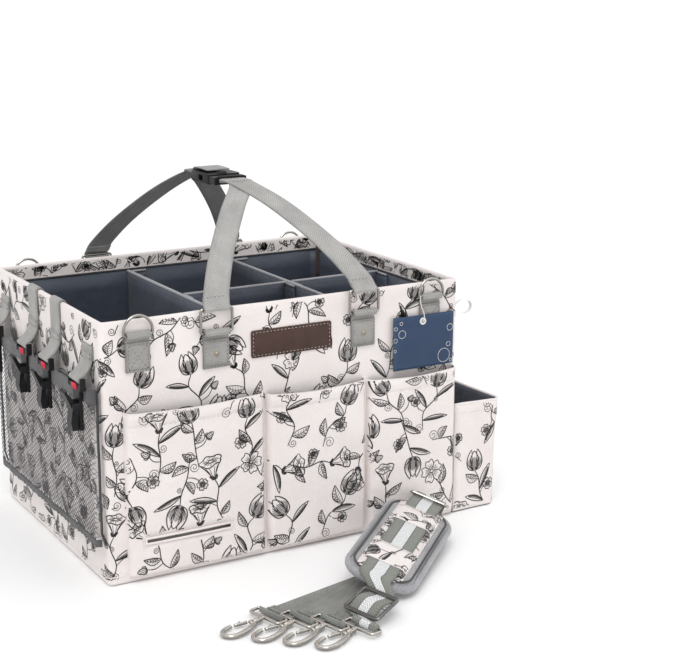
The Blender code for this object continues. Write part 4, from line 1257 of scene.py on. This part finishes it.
def build_rivet(name, x, z, side):
    turn = Matrix.Rotation(math.radians(90 * side), 4, "Z")
    place = Matrix.Translation((x, side * (HALF_Y + 0.0034), z)) @ turn
    shape = Shape()
    head = ((-0.0010, 0.0044), (-0.0004, 0.0046), (0.0000, 0.0042), (0.0003, 0.0030), (0.0004, 0.0004))
    shape.spin(place, head, 24)
    shape.spin(place, ((0.0000, 0.0018), (0.0006, 0.0016), (0.0007, 0.0003)), 16, 1)
    shape.made(name, "caddy", BRASS, NICKEL, slot="steel")


def build_rings():
    for place, side in (("front", -1), ("back", 1)):
        y = side * (HALF_Y + BAR_OUT)
        for hand, sign in (("left", -1), ("right", 1)):
            spot = f"{place}_{hand}"
            origin = Vector((sign * D_X, y, D_BAR_Z))
            low = [Vector((D_HALF, 0, 2 * D_STRAIGHT)), Vector((D_HALF, 0, 0)), Vector((-D_HALF, 0, 0))]
            loop = rounded_loop([*low, Vector((-D_HALF, 0, 2 * D_STRAIGHT))], 0.0018)
            bottom = [point for point in loop if point.z < D_STRAIGHT]
            arc = wrap((0, 0, D_STRAIGHT), X, Z, D_HALF, 180, 0, 24)
            shape = Shape()
            shape.tube([origin + point for point in bottom + arc], WIRE, Y, True, 14)
            node = f"d_ring_{spot}"
            shape.made(node + "_wire", node + "_body", NICKEL, replaces=(node,), slot="steel")

            x, high = sign * HANDLE_X, HANDLE_BAR_Z + RING_RISE
            spots = ((1, HANDLE_BAR_Z), (-1, HANDLE_BAR_Z), (-1, high), (1, high))
            corners = [Vector((x + way * RING_HALF, y, z)) for way, z in spots]
            shape = Shape()
            shape.tube(rounded_loop(corners, 0.0024), WIRE, Y, True, 14)
            node = f"handle_ring_{spot}"
            shape.made(node + "_wire", place + "_handle", NICKEL, replaces=(node,), slot="steel")

            tab = f"handle_tab_{spot}"
            build_tab(tab + "_web", tab, x, side, 0.204, HANDLE_BAR_Z, 0.028, False)
            build_rivet(f"rivet_{spot}", x, 0.2185, side)
            foot = 0.211 if side < 0 else 0.120
            tab = f"d_ring_tab_{spot}"
            build_tab(tab + "_web", tab, sign * D_X, side, foot, D_BAR_Z, 0.025, True)


def handle_path(sign, side, end_y, lift):
    bar = Vector((sign * HANDLE_X, side * (HALF_Y + BAR_OUT), HANDLE_BAR_Z + RING_RISE))
    path = wrap(bar, Y * side, Z, WRAP, -150, 70, 16)
    top = APEX_Z + lift
    lap_y = end_y + side * 0.024
    run, gone, climb = lap_y - bar.y, APEX_X - bar.x, top - bar.z
    through = [
        path[-1],
        Vector((bar.x + gone * 0.06, bar.y + run * 0.08, bar.z + 0.016)),
        Vector((bar.x + gone * 0.30, bar.y + run * 0.34, bar.z + climb * 0.46)),
        Vector((bar.x + gone * 0.68, bar.y + run * 0.70, bar.z + climb * 0.80)),
        Vector((APEX_X, lap_y, top)),
        Vector((APEX_X, end_y, top)),
    ]
    return path[:-1] + smooth_path(through, 9)


def build_handles():
    # The front handle takes the painted-lit copy of the webbing and the back handle the painted-shade copy.
    for place, side, end_y, material in (("front", -1, -0.0105, WEB_PAINTED_LIT), ("back", 1, 0.0525, WEB_PAINTED_SHADE)):
        shape, threads = Shape(), Shape()
        for sign in (-1, 1):
            path = handle_path(sign, side, end_y, sign * 0.0008)
            shape.band(path, [X] * len(path), 0.028, WEB_THICK, cup=0.0006)
            bar = Vector((sign * HANDLE_X, side * (HALF_Y + BAR_OUT), HANDLE_BAR_Z + RING_RISE))
            lap = [point for point in path if 0.0035 < point.z - bar.z < 0.014][:6]
            outward = Vector((0, side, 0.25)).normalized()
            inner = [point - outward * 0.0019 for point in lap]
            shape.band(inner, [X] * len(inner), 0.0275, 0.0015)
            middle = [point for point in path if 0.010 < point.z - bar.z < 0.017]
            if middle:
                row = [middle[0] + X * dx + outward * (0.0009 + 0.0004) for dx in (-0.011, 0.0, 0.011)]
                threads.stitches(row, outward)
        end = end_y + side * 0.022
        for offset in (0.004, 0.0065, 0.019):
            y = end_y + side * offset
            row = [Vector((APEX_X + dx, y, APEX_Z + 0.0026)) for dx in (-0.0115, 0.0, 0.0115)]
            threads.stitches(row, Z)
        name = f"{place}_handle"
        spots = divided(*sorted((end, end_y + side * 0.001)), 0.006)
        tail = [Vector((APEX_X, y, APEX_Z + 0.0021)) for y in spots]
        shape.band(tail, [X] * len(tail), 0.0278, 0.0011)
        shape.made(name + "_web", name, material, replaces=(name + "_strap",), slot="webbing")
        threads.made(name + "_stitches", name, GREY_THREAD, slot="webbing")


# The rear strap's tail, folded forward over the buckle: (y, rise over the apex).
FLAP = ((0.0560, 0.0022), (0.0545, 0.0062), (0.0480, 0.0078), (0.0340, 0.0080), (0.0200, 0.0077))


def build_buckle():
    finished("buckle_plug_moulding", "buckle_plug", "front_handle", BLACK, 0.0011)
    finished("buckle_socket_moulding", "buckle_socket", "back_handle", BLACK, 0.0014)
    ribs = Shape()
    for k in range(4):
        place = Matrix.Translation((APEX_X, 0.0400 + 0.0026 * k, APEX_Z + 0.0053))
        block(ribs, place, (0.022, 0.0012, 0.0008), 0.0005)
    tail = Shape()
    flap = smooth_path([(APEX_X, y, APEX_Z + z) for y, z in FLAP], 4)
    tail.band(flap, [X] * len(flap), 0.0270, 0.0013)
    tail.made("buckle_flap", "back_handle", WEB, slot="webbing")
    nub = Matrix.Translation((APEX_X, 0.0130, APEX_Z + 0.0054))
    block(ribs, nub, (0.011, 0.009, 0.0012), 0.0022)
    ribs.made("buckle_socket_ribs", "back_handle", BLACK, slot="plastic")
    lip = Shape()
    place = Matrix.Translation((APEX_X, -0.0085, APEX_Z + 0.0041))
    block(lip, place, (0.031, 0.0022, 0.0010), 0.0006)
    place = Matrix.Translation((APEX_X, -0.0035, APEX_Z + 0.0041))
    block(lip, place, (0.024, 0.0012, 0.0006), 0.0005)
    lip.made("buckle_plug_lip", "front_handle", BLACK, slot="plastic")


# ---------------------------------------------------------------- clips


def build_clips():
    for number, (y, top) in enumerate(zip(CLIP_Y, CLIP_TOPS), 1):
        axis_x, axis_z = CLIP_AXIS
        wall_x = -HALF_X - WEB_THICK / 2
        bar = Vector((axis_x, y, axis_z))
        path = [Vector((wall_x, y, z)) for z in divided(axis_z + 0.026, min(top, 0.2585), 0.006)][::-1]
        if top >= TOP:
            rim = Vector((-HALF_X + 0.0025, y, TOP - 0.0025))
            over = wrap(rim, -X, Z, 0.0036, 0, 178, 8)[::-1]
            inside = [Vector((-HALF_X + WALL + 0.0011, y, z)) for z in divided(0.2455, 0.2575, 0.004)]
            path = inside + over + path
        turn = wrap(bar, -X, Z, 0.00225, 75, -150, 12)
        upper, lower = (wall_x - 0.0012, y, axis_z + 0.0170), (wall_x - 0.0055, y, axis_z + 0.0082)
        slope = (path[-1], upper, lower, turn[0])
        path = path[:-1] + smooth_path(slope, 5)[:-1] + turn
        shape = Shape()
        shape.band(path, [Y] * len(path), 0.027, WEB_THICK * 0.92)
        front = Vector((wall_x - WEB_THICK * 0.75, y, axis_z + 0.0205))
        tail = [front + Z * dz for dz in (-0.006, 0.0, 0.006)]
        shape.band(tail, [Y] * 3, 0.0265, 0.0012)
        shape.made(f"clip_strap_{number}", "caddy", WEB, slot="webbing")
        threads = Shape()
        box_stitch(threads, front - X * 0.0008, Y, Z, -X, 0.021, 0.009)
        threads.made(f"clip_strap_{number}_stitches", "caddy", GREY_THREAD, slot="webbing")
        body = f"clip_{number}"
        finished(body + "_moulding", f"clip_body_{number}", body, BLACK, 0.0005)
        finished(body + "_lever_moulding", f"clip_lever_{number}", body + "_lever", BLACK, 0.0006)
        label = Shape()
        turn = Matrix.Rotation(math.radians(-90), 4, "Y") @ Matrix.Rotation(math.radians(90), 4, "Z")
        place = Matrix.Translation((axis_x - 0.0028, y, axis_z - 0.0072)) @ turn
        block(label, place, (0.0120, 0.0062, 0.0008), 0.0010)
        label.made(body + "_label", body, RED, slot="plastic")


# ---------------------------------------------------------------- shoulder strap

PAD = (
    Matrix.Translation(PAD_CENTRE)
    @ Matrix.Rotation(math.radians(41), 4, "Z")
    @ Matrix.Rotation(math.radians(-4), 4, "Y")
    @ Matrix.Rotation(math.radians(18), 4, "X")
)
FAN = Matrix.Translation(FAN_ORIGIN) @ Matrix.Rotation(FAN_YAW, 4, "Z")
SLIDER = (
    Matrix.Translation((-0.0165, -0.3330, 0.0140))
    @ Matrix.Rotation(FAN_YAW, 4, "Z")
    @ Matrix.Rotation(math.radians(-22), 4, "Y")
)


def pad_outline(inset, steps=8, radius=0.026):
    hx, hy = PAD_HALF[0] - inset, PAD_HALF[1] - inset
    corners = [Vector((x, y, 0)) for x, y in ((hx, hy), (-hx, hy), (-hx, -hy), (hx, -hy))]
    return rounded_loop(corners, max(radius - inset, 0.004), steps)


def puffed_pad():
    """The pad's cushion: a thin slab blown up by cloth pressure, its moves capped, then smoothed."""
    shape = bmesh.new()
    outline = pad_outline(0.0030)
    face = shape.faces.new([shape.verts.new(point - Z * 0.0045) for point in outline])
    pushed = bmesh.ops.extrude_face_region(shape, geom=[face])
    tops = [item for item in pushed["geom"] if isinstance(item, bmesh.types.BMVert)]
    bmesh.ops.translate(shape, verts=tops, vec=Z * 0.0090)
    bmesh.ops.recalc_face_normals(shape, faces=shape.faces)
    mesh = bpy.data.meshes.new("pad_core")
    shape.to_mesh(mesh)
    shape.free()
    core = bpy.data.objects.new("pad_core", mesh)
    bpy.context.scene.collection.objects.link(core)
    remesh = core.modifiers.new("voxels", "REMESH")
    remesh.mode = "VOXEL"
    remesh.voxel_size = 0.004
    bpy.context.view_layer.update()
    graph = bpy.context.evaluated_depsgraph_get()
    mesh = bpy.data.meshes.new_from_object(core.evaluated_get(graph))
    core.modifiers.clear()
    core.data = mesh
    start = [vert.co.copy() for vert in mesh.vertices]
    moved = start
    cloth = core.modifiers.new("cloth", "CLOTH")
    cloth.settings.use_pressure = True
    cloth.settings.uniform_pressure_force = 4.0
    cloth.settings.effector_weights.gravity = 0.0
    cloth.point_cache.frame_start, cloth.point_cache.frame_end = 1, 20
    scene = bpy.context.scene
    for number in range(1, 21):
        scene.frame_set(number)
    graph = bpy.context.evaluated_depsgraph_get()
    blown = core.evaluated_get(graph).to_mesh()
    moved = [vert.co.copy() for vert in blown.vertices]
    core.evaluated_get(graph).to_mesh_clear()
    scene.frame_set(1)
    core.modifiers.clear()
    cap = 0.0022
    for vert, old, new in zip(mesh.vertices, start, moved):
        step = new - old
        if step.length > cap:
            step = step.normalized() * cap
        spot = old + step
        spot.z = max(-0.0068, min(0.0068, spot.z))
        vert.co = spot
    core.name = "shoulder_pad_cushion"
    mesh.transform(PAD)
    mesh.shade_smooth()
    mesh.materials.clear()
    mesh.materials.append(SPACER)
    smooth = core.modifiers.new("soften", "SUBSURF")
    smooth.levels = smooth.render_levels = 1
    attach(core, "shoulder_strap")
    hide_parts("shoulder_pad")


def build_pad():
    puffed_pad()
    rim = Shape()
    rim.tube([PAD @ point for point in pad_outline(0.0030)], 0.0030, PAD.to_3x3() @ Z, True, 12, flat=1.35)
    rim.made("shoulder_pad_rim", "shoulder_strap", SPACER, slot="pad")
    seam = Shape()
    for inset in (0.0072, 0.0082):
        loop = [PAD @ Vector((p.x, p.y, 0.0060)) for p in pad_outline(inset)]
        seam.tube(loop, 0.0006, PAD.to_3x3() @ Z, True, 6)
    seam.made("shoulder_pad_seam", "shoulder_strap", GREY_THREAD, slot="pad")

    half_x, half_y = 0.0790, 0.0235

    def panel(u, v):
        rise = 0.0074 + 0.0003 * ripple((u, v, 0), 0.02, 4.0) - 0.0010 * eased(0.85, 1, abs(u) / half_x)
        return PAD @ Vector((u, v, rise)), PAD.to_3x3() @ Z

    def cut(u, v):
        dx, dy = abs(u) - (half_x - 0.010), abs(v) - (half_y - 0.010)
        return dx > 0 and dy > 0 and math.hypot(dx, dy) > 0.010

    shape = Shape()
    shape.slab(panel, divided(-half_x, half_x, 0.003), divided(-half_y, half_y, 0.003), 0.0009, cut)
    cloth = shape.made("shoulder_pad_panel", "shoulder_strap", CLOTH, slot="fabric")

    def printed(u, v):
        return panel(u, v)[0] + PAD.to_3x3() @ Z * 0.00018

    art = print_on(
        "shoulder_pad_print", "shoulder_strap", printed, (-half_x, -half_y), (half_x, half_y), 83, cut,
        (0.05, 0.05),
    )
    threads = Shape()
    loop = []
    for p in rounded_loop([Vector((x, y, 0)) for x, y in ((1, 1), (-1, 1), (-1, -1), (1, -1))], 0.2):
        loop.append(PAD @ Vector((p.x * (half_x - 0.002), p.y * (half_y - 0.002), 0.0078)))
    threads.stitches([*loop, loop[0]], PAD.to_3x3() @ Z)
    threads.made("shoulder_pad_stitches", "shoulder_strap", CLOTH_THREAD, slot="fabric")

    def keeper_rise(v):
        return 0.0105 - 0.0027 * eased(0.0165, 0.0225, abs(v))

    def keeper(u, v):
        return PAD @ Vector((u, v, keeper_rise(v))), PAD.to_3x3() @ Z

    keepers = Shape()
    for low, high in ((-0.060, -0.024), (0.030, 0.062)):
        keepers.slab(keeper, divided(low, high, 0.006), divided(-half_y, half_y, 0.0025), 0.0007)
    loops = keepers.made("shoulder_pad_keepers", "shoulder_strap", CLOTH, slot="fabric")

    def keeper_print(u, v):
        return PAD @ Vector((u, v, keeper_rise(v) + 0.00018))

    def outside(u, _v):
        return not (-0.0595 < u < -0.0245 or 0.0305 < u < 0.0615)

    ink = print_on(
        "shoulder_keeper_print", "shoulder_strap", keeper_print, (-0.060, -half_y), (0.062, half_y), 91,
        outside, (0.045, 0.05),
    )


def fan_point(along, across, z):
    return FAN @ Vector((across, -along, z))


def inner_bar(ring):
    along, across = ring
    return fan_point(along + STRAP_RING_HALF, across + STRAP_RING_DEPTH, RING_LIFT)


def build_strap():
    top = PAD_THICK / 2 + 0.0003 + STRAP_THICK
    away, fan_side, pad_side = FAN.to_3x3() @ X, FAN.to_3x3() @ Y, PAD.to_3x3() @ Y
    slider_side = SLIDER.to_3x3() @ Y
    weave = STRAP_WIRE + 0.0003 + STRAP_THICK / 2
    loop = wrap(inner_bar(HOOK_RINGS[3]), away, Z, STRAP_WRAP, 250, 70, 14)
    far = [PAD @ point for point in wrap((0.1125, 0, 0), X, Z, STRAP_WRAP, 75, -100, 12)]
    points, sides = [loop[-1]], [fan_side]
    for x, z in ((-0.0145, -weave), (0, weave), (0.0145, -weave)):
        points.append(SLIDER @ Vector((x, 0, z)))
        sides.append(slider_side)
    points.append(PAD @ Vector((-PAD_HALF[0] - 0.004, 0, top)))
    sides.append(slider_side.lerp(pad_side, 0.6))
    for x in (-PAD_HALF[0] + 0.008, -PAD_HALF[0] + 0.030, 0.030, 0.076):
        points.append(PAD @ Vector((x, 0, top)))
        sides.append(pad_side)
    over = smooth_path([*points, far[0]], 6)
    over_sides = smooth_path([*sides, pad_side], 6)
    join = fan_point(0.022, 0.138, 0.0012 + STRAP_THICK / 2)
    points, sides = [far[-1]], [pad_side]
    for x, y, drop in ((0.080, 0.000, 0.003), (0.030, 0.008, 0.004)):
        points.append(PAD @ Vector((x, y, -top - drop)))
        sides.append(pad_side)
    points += [join + away * 0.016 + Z * STRAP_THICK, join]
    under, under_sides = smooth_path(points, 8), smooth_path([*sides, fan_side, fan_side], 8)
    path = loop[:-1] + over[:-1] + far[:-1] + under
    sides = [fan_side] * (len(loop) - 1) + over_sides[:-1] + [pad_side] * (len(far) - 1) + under_sides
    main = Shape()
    main.band(path, sides, STRAP_WIDTH, STRAP_THICK)
    main.made("shoulder_strap_web", "shoulder_strap", STRIPED, replaces=("shoulder_webbing",), slot="webbing")
    legs, threads = Shape(), Shape()
    for number, ring in enumerate(HOOK_RINGS):
        bar = inner_bar(ring)
        if number < 3:
            start = fan_point(0.022, 0.142, 0.0012 + STRAP_THICK * 0.6 * number)
            turn = wrap(bar, away, Z, STRAP_WRAP, -60, -250, 14)
            floor = Vector((bar.x, bar.y, 0.0012)) + away * 0.0085
            run = [start.lerp(floor, k / 8) for k in range(9)]
            legs.band(run + turn, [fan_side] * (len(run) + len(turn)), STRAP_WIDTH, STRAP_THICK)
        lift = 0.0012 + STRAP_THICK * 1.15 + (0.0 if number < 3 else 0.006)
        for reach in (0.011, 0.0135):
            if number < 3:
                centre = Vector((bar.x, bar.y, lift + 0.0012)) + away * reach
                threads.stitches([centre - fan_side * 0.014, centre + fan_side * 0.014], Z)
        if number < 3:
            lying = Vector((bar.x, bar.y, 0.0012 + STRAP_THICK * 1.05))
            tail = [lying + away * d for d in (0.0065, 0.0105, 0.0160)]
            tail[0] += Z * 0.0006
            legs.band(tail, [fan_side] * 3, STRAP_WIDTH * 0.99, STRAP_THICK * 0.9)
    legs.made("shoulder_strap_legs", "shoulder_strap", UNDER, slot="webbing")
    threads.made("shoulder_strap_stitches", "shoulder_strap", GREY_THREAD, slot="webbing")

    ring = Shape()
    near = 0.1125 - 0.018
    spots = ((0.1125, -1, 0), (0.1125, 1, 0), (near, 1, 0.0100), (near, -1, 0.0100))
    corners = [PAD @ Vector((x, side * STRAP_RING_HALF, z)) for x, side, z in spots]
    normal = (corners[1] - corners[0]).cross(corners[2] - corners[1]).normalized()
    ring.tube(rounded_loop(corners, 0.0028), STRAP_WIRE * 1.15, normal, True, 14)
    ring.made("far_ring_wire", "shoulder_strap", NICKEL, replaces=("strap_slider_far",), slot="steel")

    slider = Shape()
    spots = ((0.0145, -0.021), (0.0145, 0.021), (-0.0145, 0.021), (-0.0145, -0.021))
    corners = [SLIDER @ Vector((x, y, 0)) for x, y in spots]
    flat_normal = SLIDER.to_3x3() @ Z
    slider.tube(rounded_loop(corners, 0.0028), 0.0021, flat_normal, True, 14, flat=0.72)
    middle = [SLIDER @ Vector((0, y, 0)) for y in (-0.021, 0, 0.021)]
    slider.tube(middle, 0.0015, flat_normal, False, 12, flat=0.8)
    near = ("strap_slider_near",)
    slider.made("near_slider_frame", "shoulder_strap", CHROME_DARK, replaces=near, slot="dark_steel")


def hook_frame(ring):
    along, across = ring
    start = fan_point(along + STRAP_RING_HALF, across, RING_LIFT)
    dip = math.asin((RING_LIFT - 0.0021 - 0.0003) / 0.048)
    turn = Matrix.Rotation(FAN_YAW + math.pi, 4, "Z")
    return Matrix.Translation(start) @ turn @ Matrix.Rotation(dip, 4, "Y")


def build_hooks():
    start, half = 0.0110, 0.0088
    end = start + 0.036
    through = (
        (start, 0.0), (start + 0.004, 0.0035), (start + 0.014, half * 0.82), (end - half * 1.25, half),
        (end - half * 0.35, half * 0.72), (end, 0), (end - half * 0.35, -half * 0.72),
        (end - half * 1.25, -half), (end - half * 1.75, -half * 0.97),
    )
    nose = Vector((end - half * 1.75, -half * 0.97, 0))
    pivot = Vector((0.0166, -0.0042, 0))
    for number, ring in enumerate(HOOK_RINGS, 1):
        place = hook_frame(ring)
        up = place.to_3x3() @ Z
        along, across = ring
        corners = []
        for ahead, out in ((0, 0), (0, 2), (1, 2), (1, 0)):
            spot = (along + STRAP_RING_HALF * out, across + STRAP_RING_DEPTH * ahead)
            corners.append(fan_point(*spot, RING_LIFT))
        base = Shape()
        base.tube(rounded_loop(corners, 0.0028), STRAP_WIRE, Z, True, 14)
        base.spin(place, ((-0.0012, 0.0016), (0.0016, 0.0019), (0.0024, 0.0013), (0.0085, 0.0013)), 16)
        node = f"hook_ring_{number}"
        base.made(node + "_wire", "shoulder_strap", NICKEL, replaces=(node,), slot="steel")

        body = Shape()
        path = [place @ point for point in smooth_path([(x, y, 0) for x, y in through], 6)]
        swell = lambda t: 0.0021 + 0.0004 * math.sin(math.pi * min(1, t * 1.4))
        body.tube(path, swell, up, False, 14, flat=0.86)
        barrel = ((0.0030, 0.0019), (0.0034, 0.0027), (0.0048, 0.0029), (0.0056, 0.0025), (0.0064, 0.0029))
        barrel += ((0.0100, 0.0030), (0.0116, 0.0026), (0.0126, 0.0021))
        body.spin(place, barrel, 18)
        ear = place @ Matrix.Translation((0.0132, -0.0016, 0))
        block(body, ear, (0.0050, 0.0056, 0.0026), 0.0012)
        node = f"hook_body_{number}"
        body.made(node + "_casting", f"hook_{number}", NICKEL, replaces=(node,), slot="steel", sharp=60)

        gate = Shape()
        ahead = (nose - pivot).normalized()
        tip = nose - ahead * 0.0029
        line = [place @ pivot.lerp(tip, k / 5) for k in range(6)]
        gate.tube(line, 0.0014, up, False, 12, flat=1.15)
        knob = place @ (pivot.lerp(tip, 0.45) + Vector((0, -0.0012, 0)))
        turn = Matrix.Translation(knob) @ place.to_3x3().to_4x4() @ Matrix.Rotation(math.radians(-90), 4, "Z")
        gate.spin(turn, ((-0.0010, 0.0013), (0.0008, 0.0013), (0.0018, 0.0017), (0.0026, 0.0010)), 12)
        node = f"hook_gate_{number}"
        gate.made(node + "_bar", f"hook_{number}_gate", NICKEL, replaces=(node,), slot="steel")


# ---------------------------------------------------------------- trim


def build_patch():
    centre = Vector((0.001, -HALF_Y - 0.0009, 0.2215))
    turn = Matrix.Rotation(math.radians(90), 4, "X")
    shape = Shape()
    block(shape, Matrix.Translation(centre) @ turn, (0.090, 0.0275, 0.0016), 0.0022)
    shape.made("front_leather_patch", "caddy", BROWN, sharp=50)
    threads = Shape()
    box_stitch(threads, centre - Y * 0.0009, X, Z, -Y, 0.0855, 0.0232)
    threads.made("front_patch_stitches", "caddy", WHITE_THREAD)


def build_tag():
    y = -HALF_Y - 0.0050
    centre = Vector((0.1545, y, 0.2010))
    eyelet = Vector((0.1530, y, 0.2225))
    us, vs = divided(-0.0370, 0.0370, 0.004), divided(-0.0282, 0.0282, 0.004)

    def card(u, v):
        bow = 0.0006 * math.cos(u / 0.037 * 1.4) + 0.0005 * (v / 0.0282) * (u / 0.037)
        return centre + Vector((u, -bow, v)), -Y

    shape = Shape()
    shape.slab(card, us, vs, 0.0005)
    shape.made("hang_tag_card", "caddy", TAG)
    rings = Shape()
    bubbles = (
        (-0.0265, 0.0100, 0.0042), (-0.0340, 0.0165, 0.0018), (-0.0275, 0.0215, 0.0017),
        (-0.0345, 0.0040, 0.0021), (-0.0350, -0.0070, 0.0014), (0.0325, 0.0110, 0.0036),
        (0.0310, -0.0070, 0.0024), (0.0255, -0.0185, 0.0074), (0.0345, -0.0250, 0.0016),
    )
    for u, v, radius in bubbles:
        loop = []
        for k in range(24):
            a = 2 * math.pi * k / 24
            loop.append(card(u + radius * math.cos(a), v + radius * math.sin(a))[0] - Y * 0.0001)
        rings.tube(loop, 0.00022, -Y, True, 6)
    rings.made("hang_tag_bubbles", "caddy", WHITE_THREAD)
    hole = Shape()
    turns = [k * math.pi / 12 for k in range(24)]
    middle = eyelet - Y * 0.0008
    loop = [middle + Vector((0.0030 * math.cos(a), 0, 0.0030 * math.sin(a))) for a in turns]
    hole.tube(loop, 0.0009, -Y, True, 10)
    place = Matrix.Translation(eyelet - Y * 0.0007) @ Matrix.Rotation(math.radians(-90), 4, "Z")
    hole.spin(place, ((-0.0003, 0.0024), (0.0001, 0.0024)), 20, 1)
    hole.made("hang_tag_eyelet", "caddy", WHITE_THREAD, PIPING)

    ways = (
        (0.1500, -0.1562, 0.2500), (0.1484, -0.1574, 0.2450), (0.1500, -0.1576, 0.2380),
        (0.1532, -0.1572, 0.2310), (0.1540, -0.1568, 0.2250), (0.1531, -0.1558, 0.2222),
    )
    curve = bpy.data.curves.new("hang_tag_string", "CURVE")
    curve.dimensions = "3D"
    curve.bevel_depth = 0.0005
    curve.bevel_resolution = 3
    line = smooth_path(ways, 4)
    spline = curve.splines.new("POLY")
    spline.points.add(len(line) - 1)
    for spot, point in zip(spline.points, line):
        spot.co = (*point, 1)
    curve.materials.append(WHITE_THREAD)
    string = shown("hang_tag_string", curve, "caddy")
    length = sum((b - a).length for a, b in zip(line, line[1:]))
    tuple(ways[0])


def build_loop():
    """The thin hanging loop sewn into the right wall near the front."""
    y = -0.1440
    ways = ((0.2003, 0.2262), (0.2050, 0.2242), (0.2130, 0.2215), (0.2195, 0.2235), (0.2215, 0.2290),
            (0.2185, 0.2345), (0.2120, 0.2365), (0.2050, 0.2345), (0.2003, 0.2318))
    path = smooth_path([(x, y, z) for x, z in ways], 4)
    shape = Shape()
    shape.band(path, [Y] * len(path), 0.0055, 0.0008)
    shape.made("side_hanging_loop", "caddy", CLEAR)
    tape = Shape()
    x, low, high = HALF_X - WALL - 0.0012, 0.2100, TOP - 0.0035
    strip = [Vector((x, 0.1385, z)) for z in divided(low, high, 0.006)]
    rim = Vector((HALF_X - 0.0025, 0.1385, TOP - 0.0035))
    strip += wrap(rim, -X, Z, 0.0037, 20, 170, 8)
    strip += [Vector((HALF_X + 0.0009, 0.1385, z)) for z in (0.256, 0.250, 0.244)]
    tape.band(strip, [Y] * len(strip), 0.0085, 0.0010)
    tape.made("corner_binding_tape", "caddy", BROWN_TRIM, slot="lining")


# ---------------------------------------------------------------- stage


LENS = 81.1193
# The studio's brightness by height: white round the floor, a dim band, a bright ceiling.
SKY = ((0.0, 1.0), (0.36, 1.0), (0.46, 0.42), (0.66, 0.38), (0.80, 1.0), (1.0, 1.0))


def build_stage():
    size, depth = 4.0, -0.0004
    mesh = bpy.data.meshes.new("floor")
    corners = [(-size, -size, depth), (size, -size, depth), (size, size, depth), (-size, size, depth)]
    mesh.from_pydata(corners, [], [(0, 1, 2, 3)])
    mesh.materials.append(floor_material())
    floor = bpy.data.objects.new("floor", mesh)
    bpy.context.scene.collection.objects.link(floor)

    world = bpy.data.worlds.new("studio")
    world.use_nodes = True
    tree = world.node_tree
    backdrop = tree.nodes["Background"]
    height = tree.nodes.new("ShaderNodeSeparateXYZ")
    tree.links.new(tree.nodes.new("ShaderNodeTexCoord").outputs["Generated"], height.inputs[0])
    sky = tree.nodes.new("ShaderNodeValToRGB")
    tree.links.new(height.outputs["Z"], sky.inputs["Fac"])
    for _ in SKY[2:]:
        sky.color_ramp.elements.new(0.5)
    for element, (at, grey) in zip(sky.color_ramp.elements, SKY):
        element.position, element.color = at, (grey, grey, grey, 1)
    tree.links.new(sky.outputs["Color"], backdrop.inputs["Color"])
    backdrop.inputs["Strength"].default_value = 1.08
    bpy.context.scene.world = world
    sun = bpy.data.lights.new("sun", "SUN")
    sun.energy, sun.angle = 0.95, math.radians(30)
    lamp = bpy.data.objects.new("sun", sun)
    lamp.rotation_euler = (math.radians(28), math.radians(-22), 0)
    bpy.context.scene.collection.objects.link(lamp)
    lights = (("key", (-0.9, -1.7, 1.9), 1.3, 5.0), ("fill", (1.6, -1.1, 1.1), 1.4, 2.5))
    for name, spot, width, power in lights:
        light = bpy.data.lights.new(name, "AREA")
        light.size = width
        light.energy = power
        lamp = bpy.data.objects.new(name, light)
        lamp.location = spot
        lamp.rotation_mode = "QUATERNION"
        lamp.rotation_quaternion = (Vector((0.02, 0, 0.1)) - Vector(spot)).to_track_quat("-Z", "Y")
        bpy.context.scene.collection.objects.link(lamp)

    data = bpy.data.cameras.new("camera")
    data.sensor_width = 36.0
    data.lens = LENS
    data.clip_start, data.clip_end = 0.05, 50.0
    camera = bpy.data.objects.new("camera", data)
    azimuth, elevation = math.radians(-30.2), math.radians(14.0)
    flat = math.cos(elevation)
    back = Vector((math.sin(azimuth) * flat, -math.cos(azimuth) * flat, math.sin(elevation)))
    camera.location = Vector((0.1436, 0, 0.180)) + back * 1.722
    camera.rotation_mode = "QUATERNION"
    camera.rotation_quaternion = (-back).to_track_quat("-Z", "Y")
    bpy.context.scene.collection.objects.link(camera)
    bpy.context.scene.camera = camera
    bpy.context.scene.view_settings.view_transform = "Standard"


build_stage()
build_shell()
print_shell()
build_pockets()
build_side_pocket()
build_net()
build_lining()
build_dividers()
build_rings()
build_handles()
build_buckle()
build_clips()
build_pad()
build_strap()
build_hooks()
build_patch()
build_tag()
build_loop()
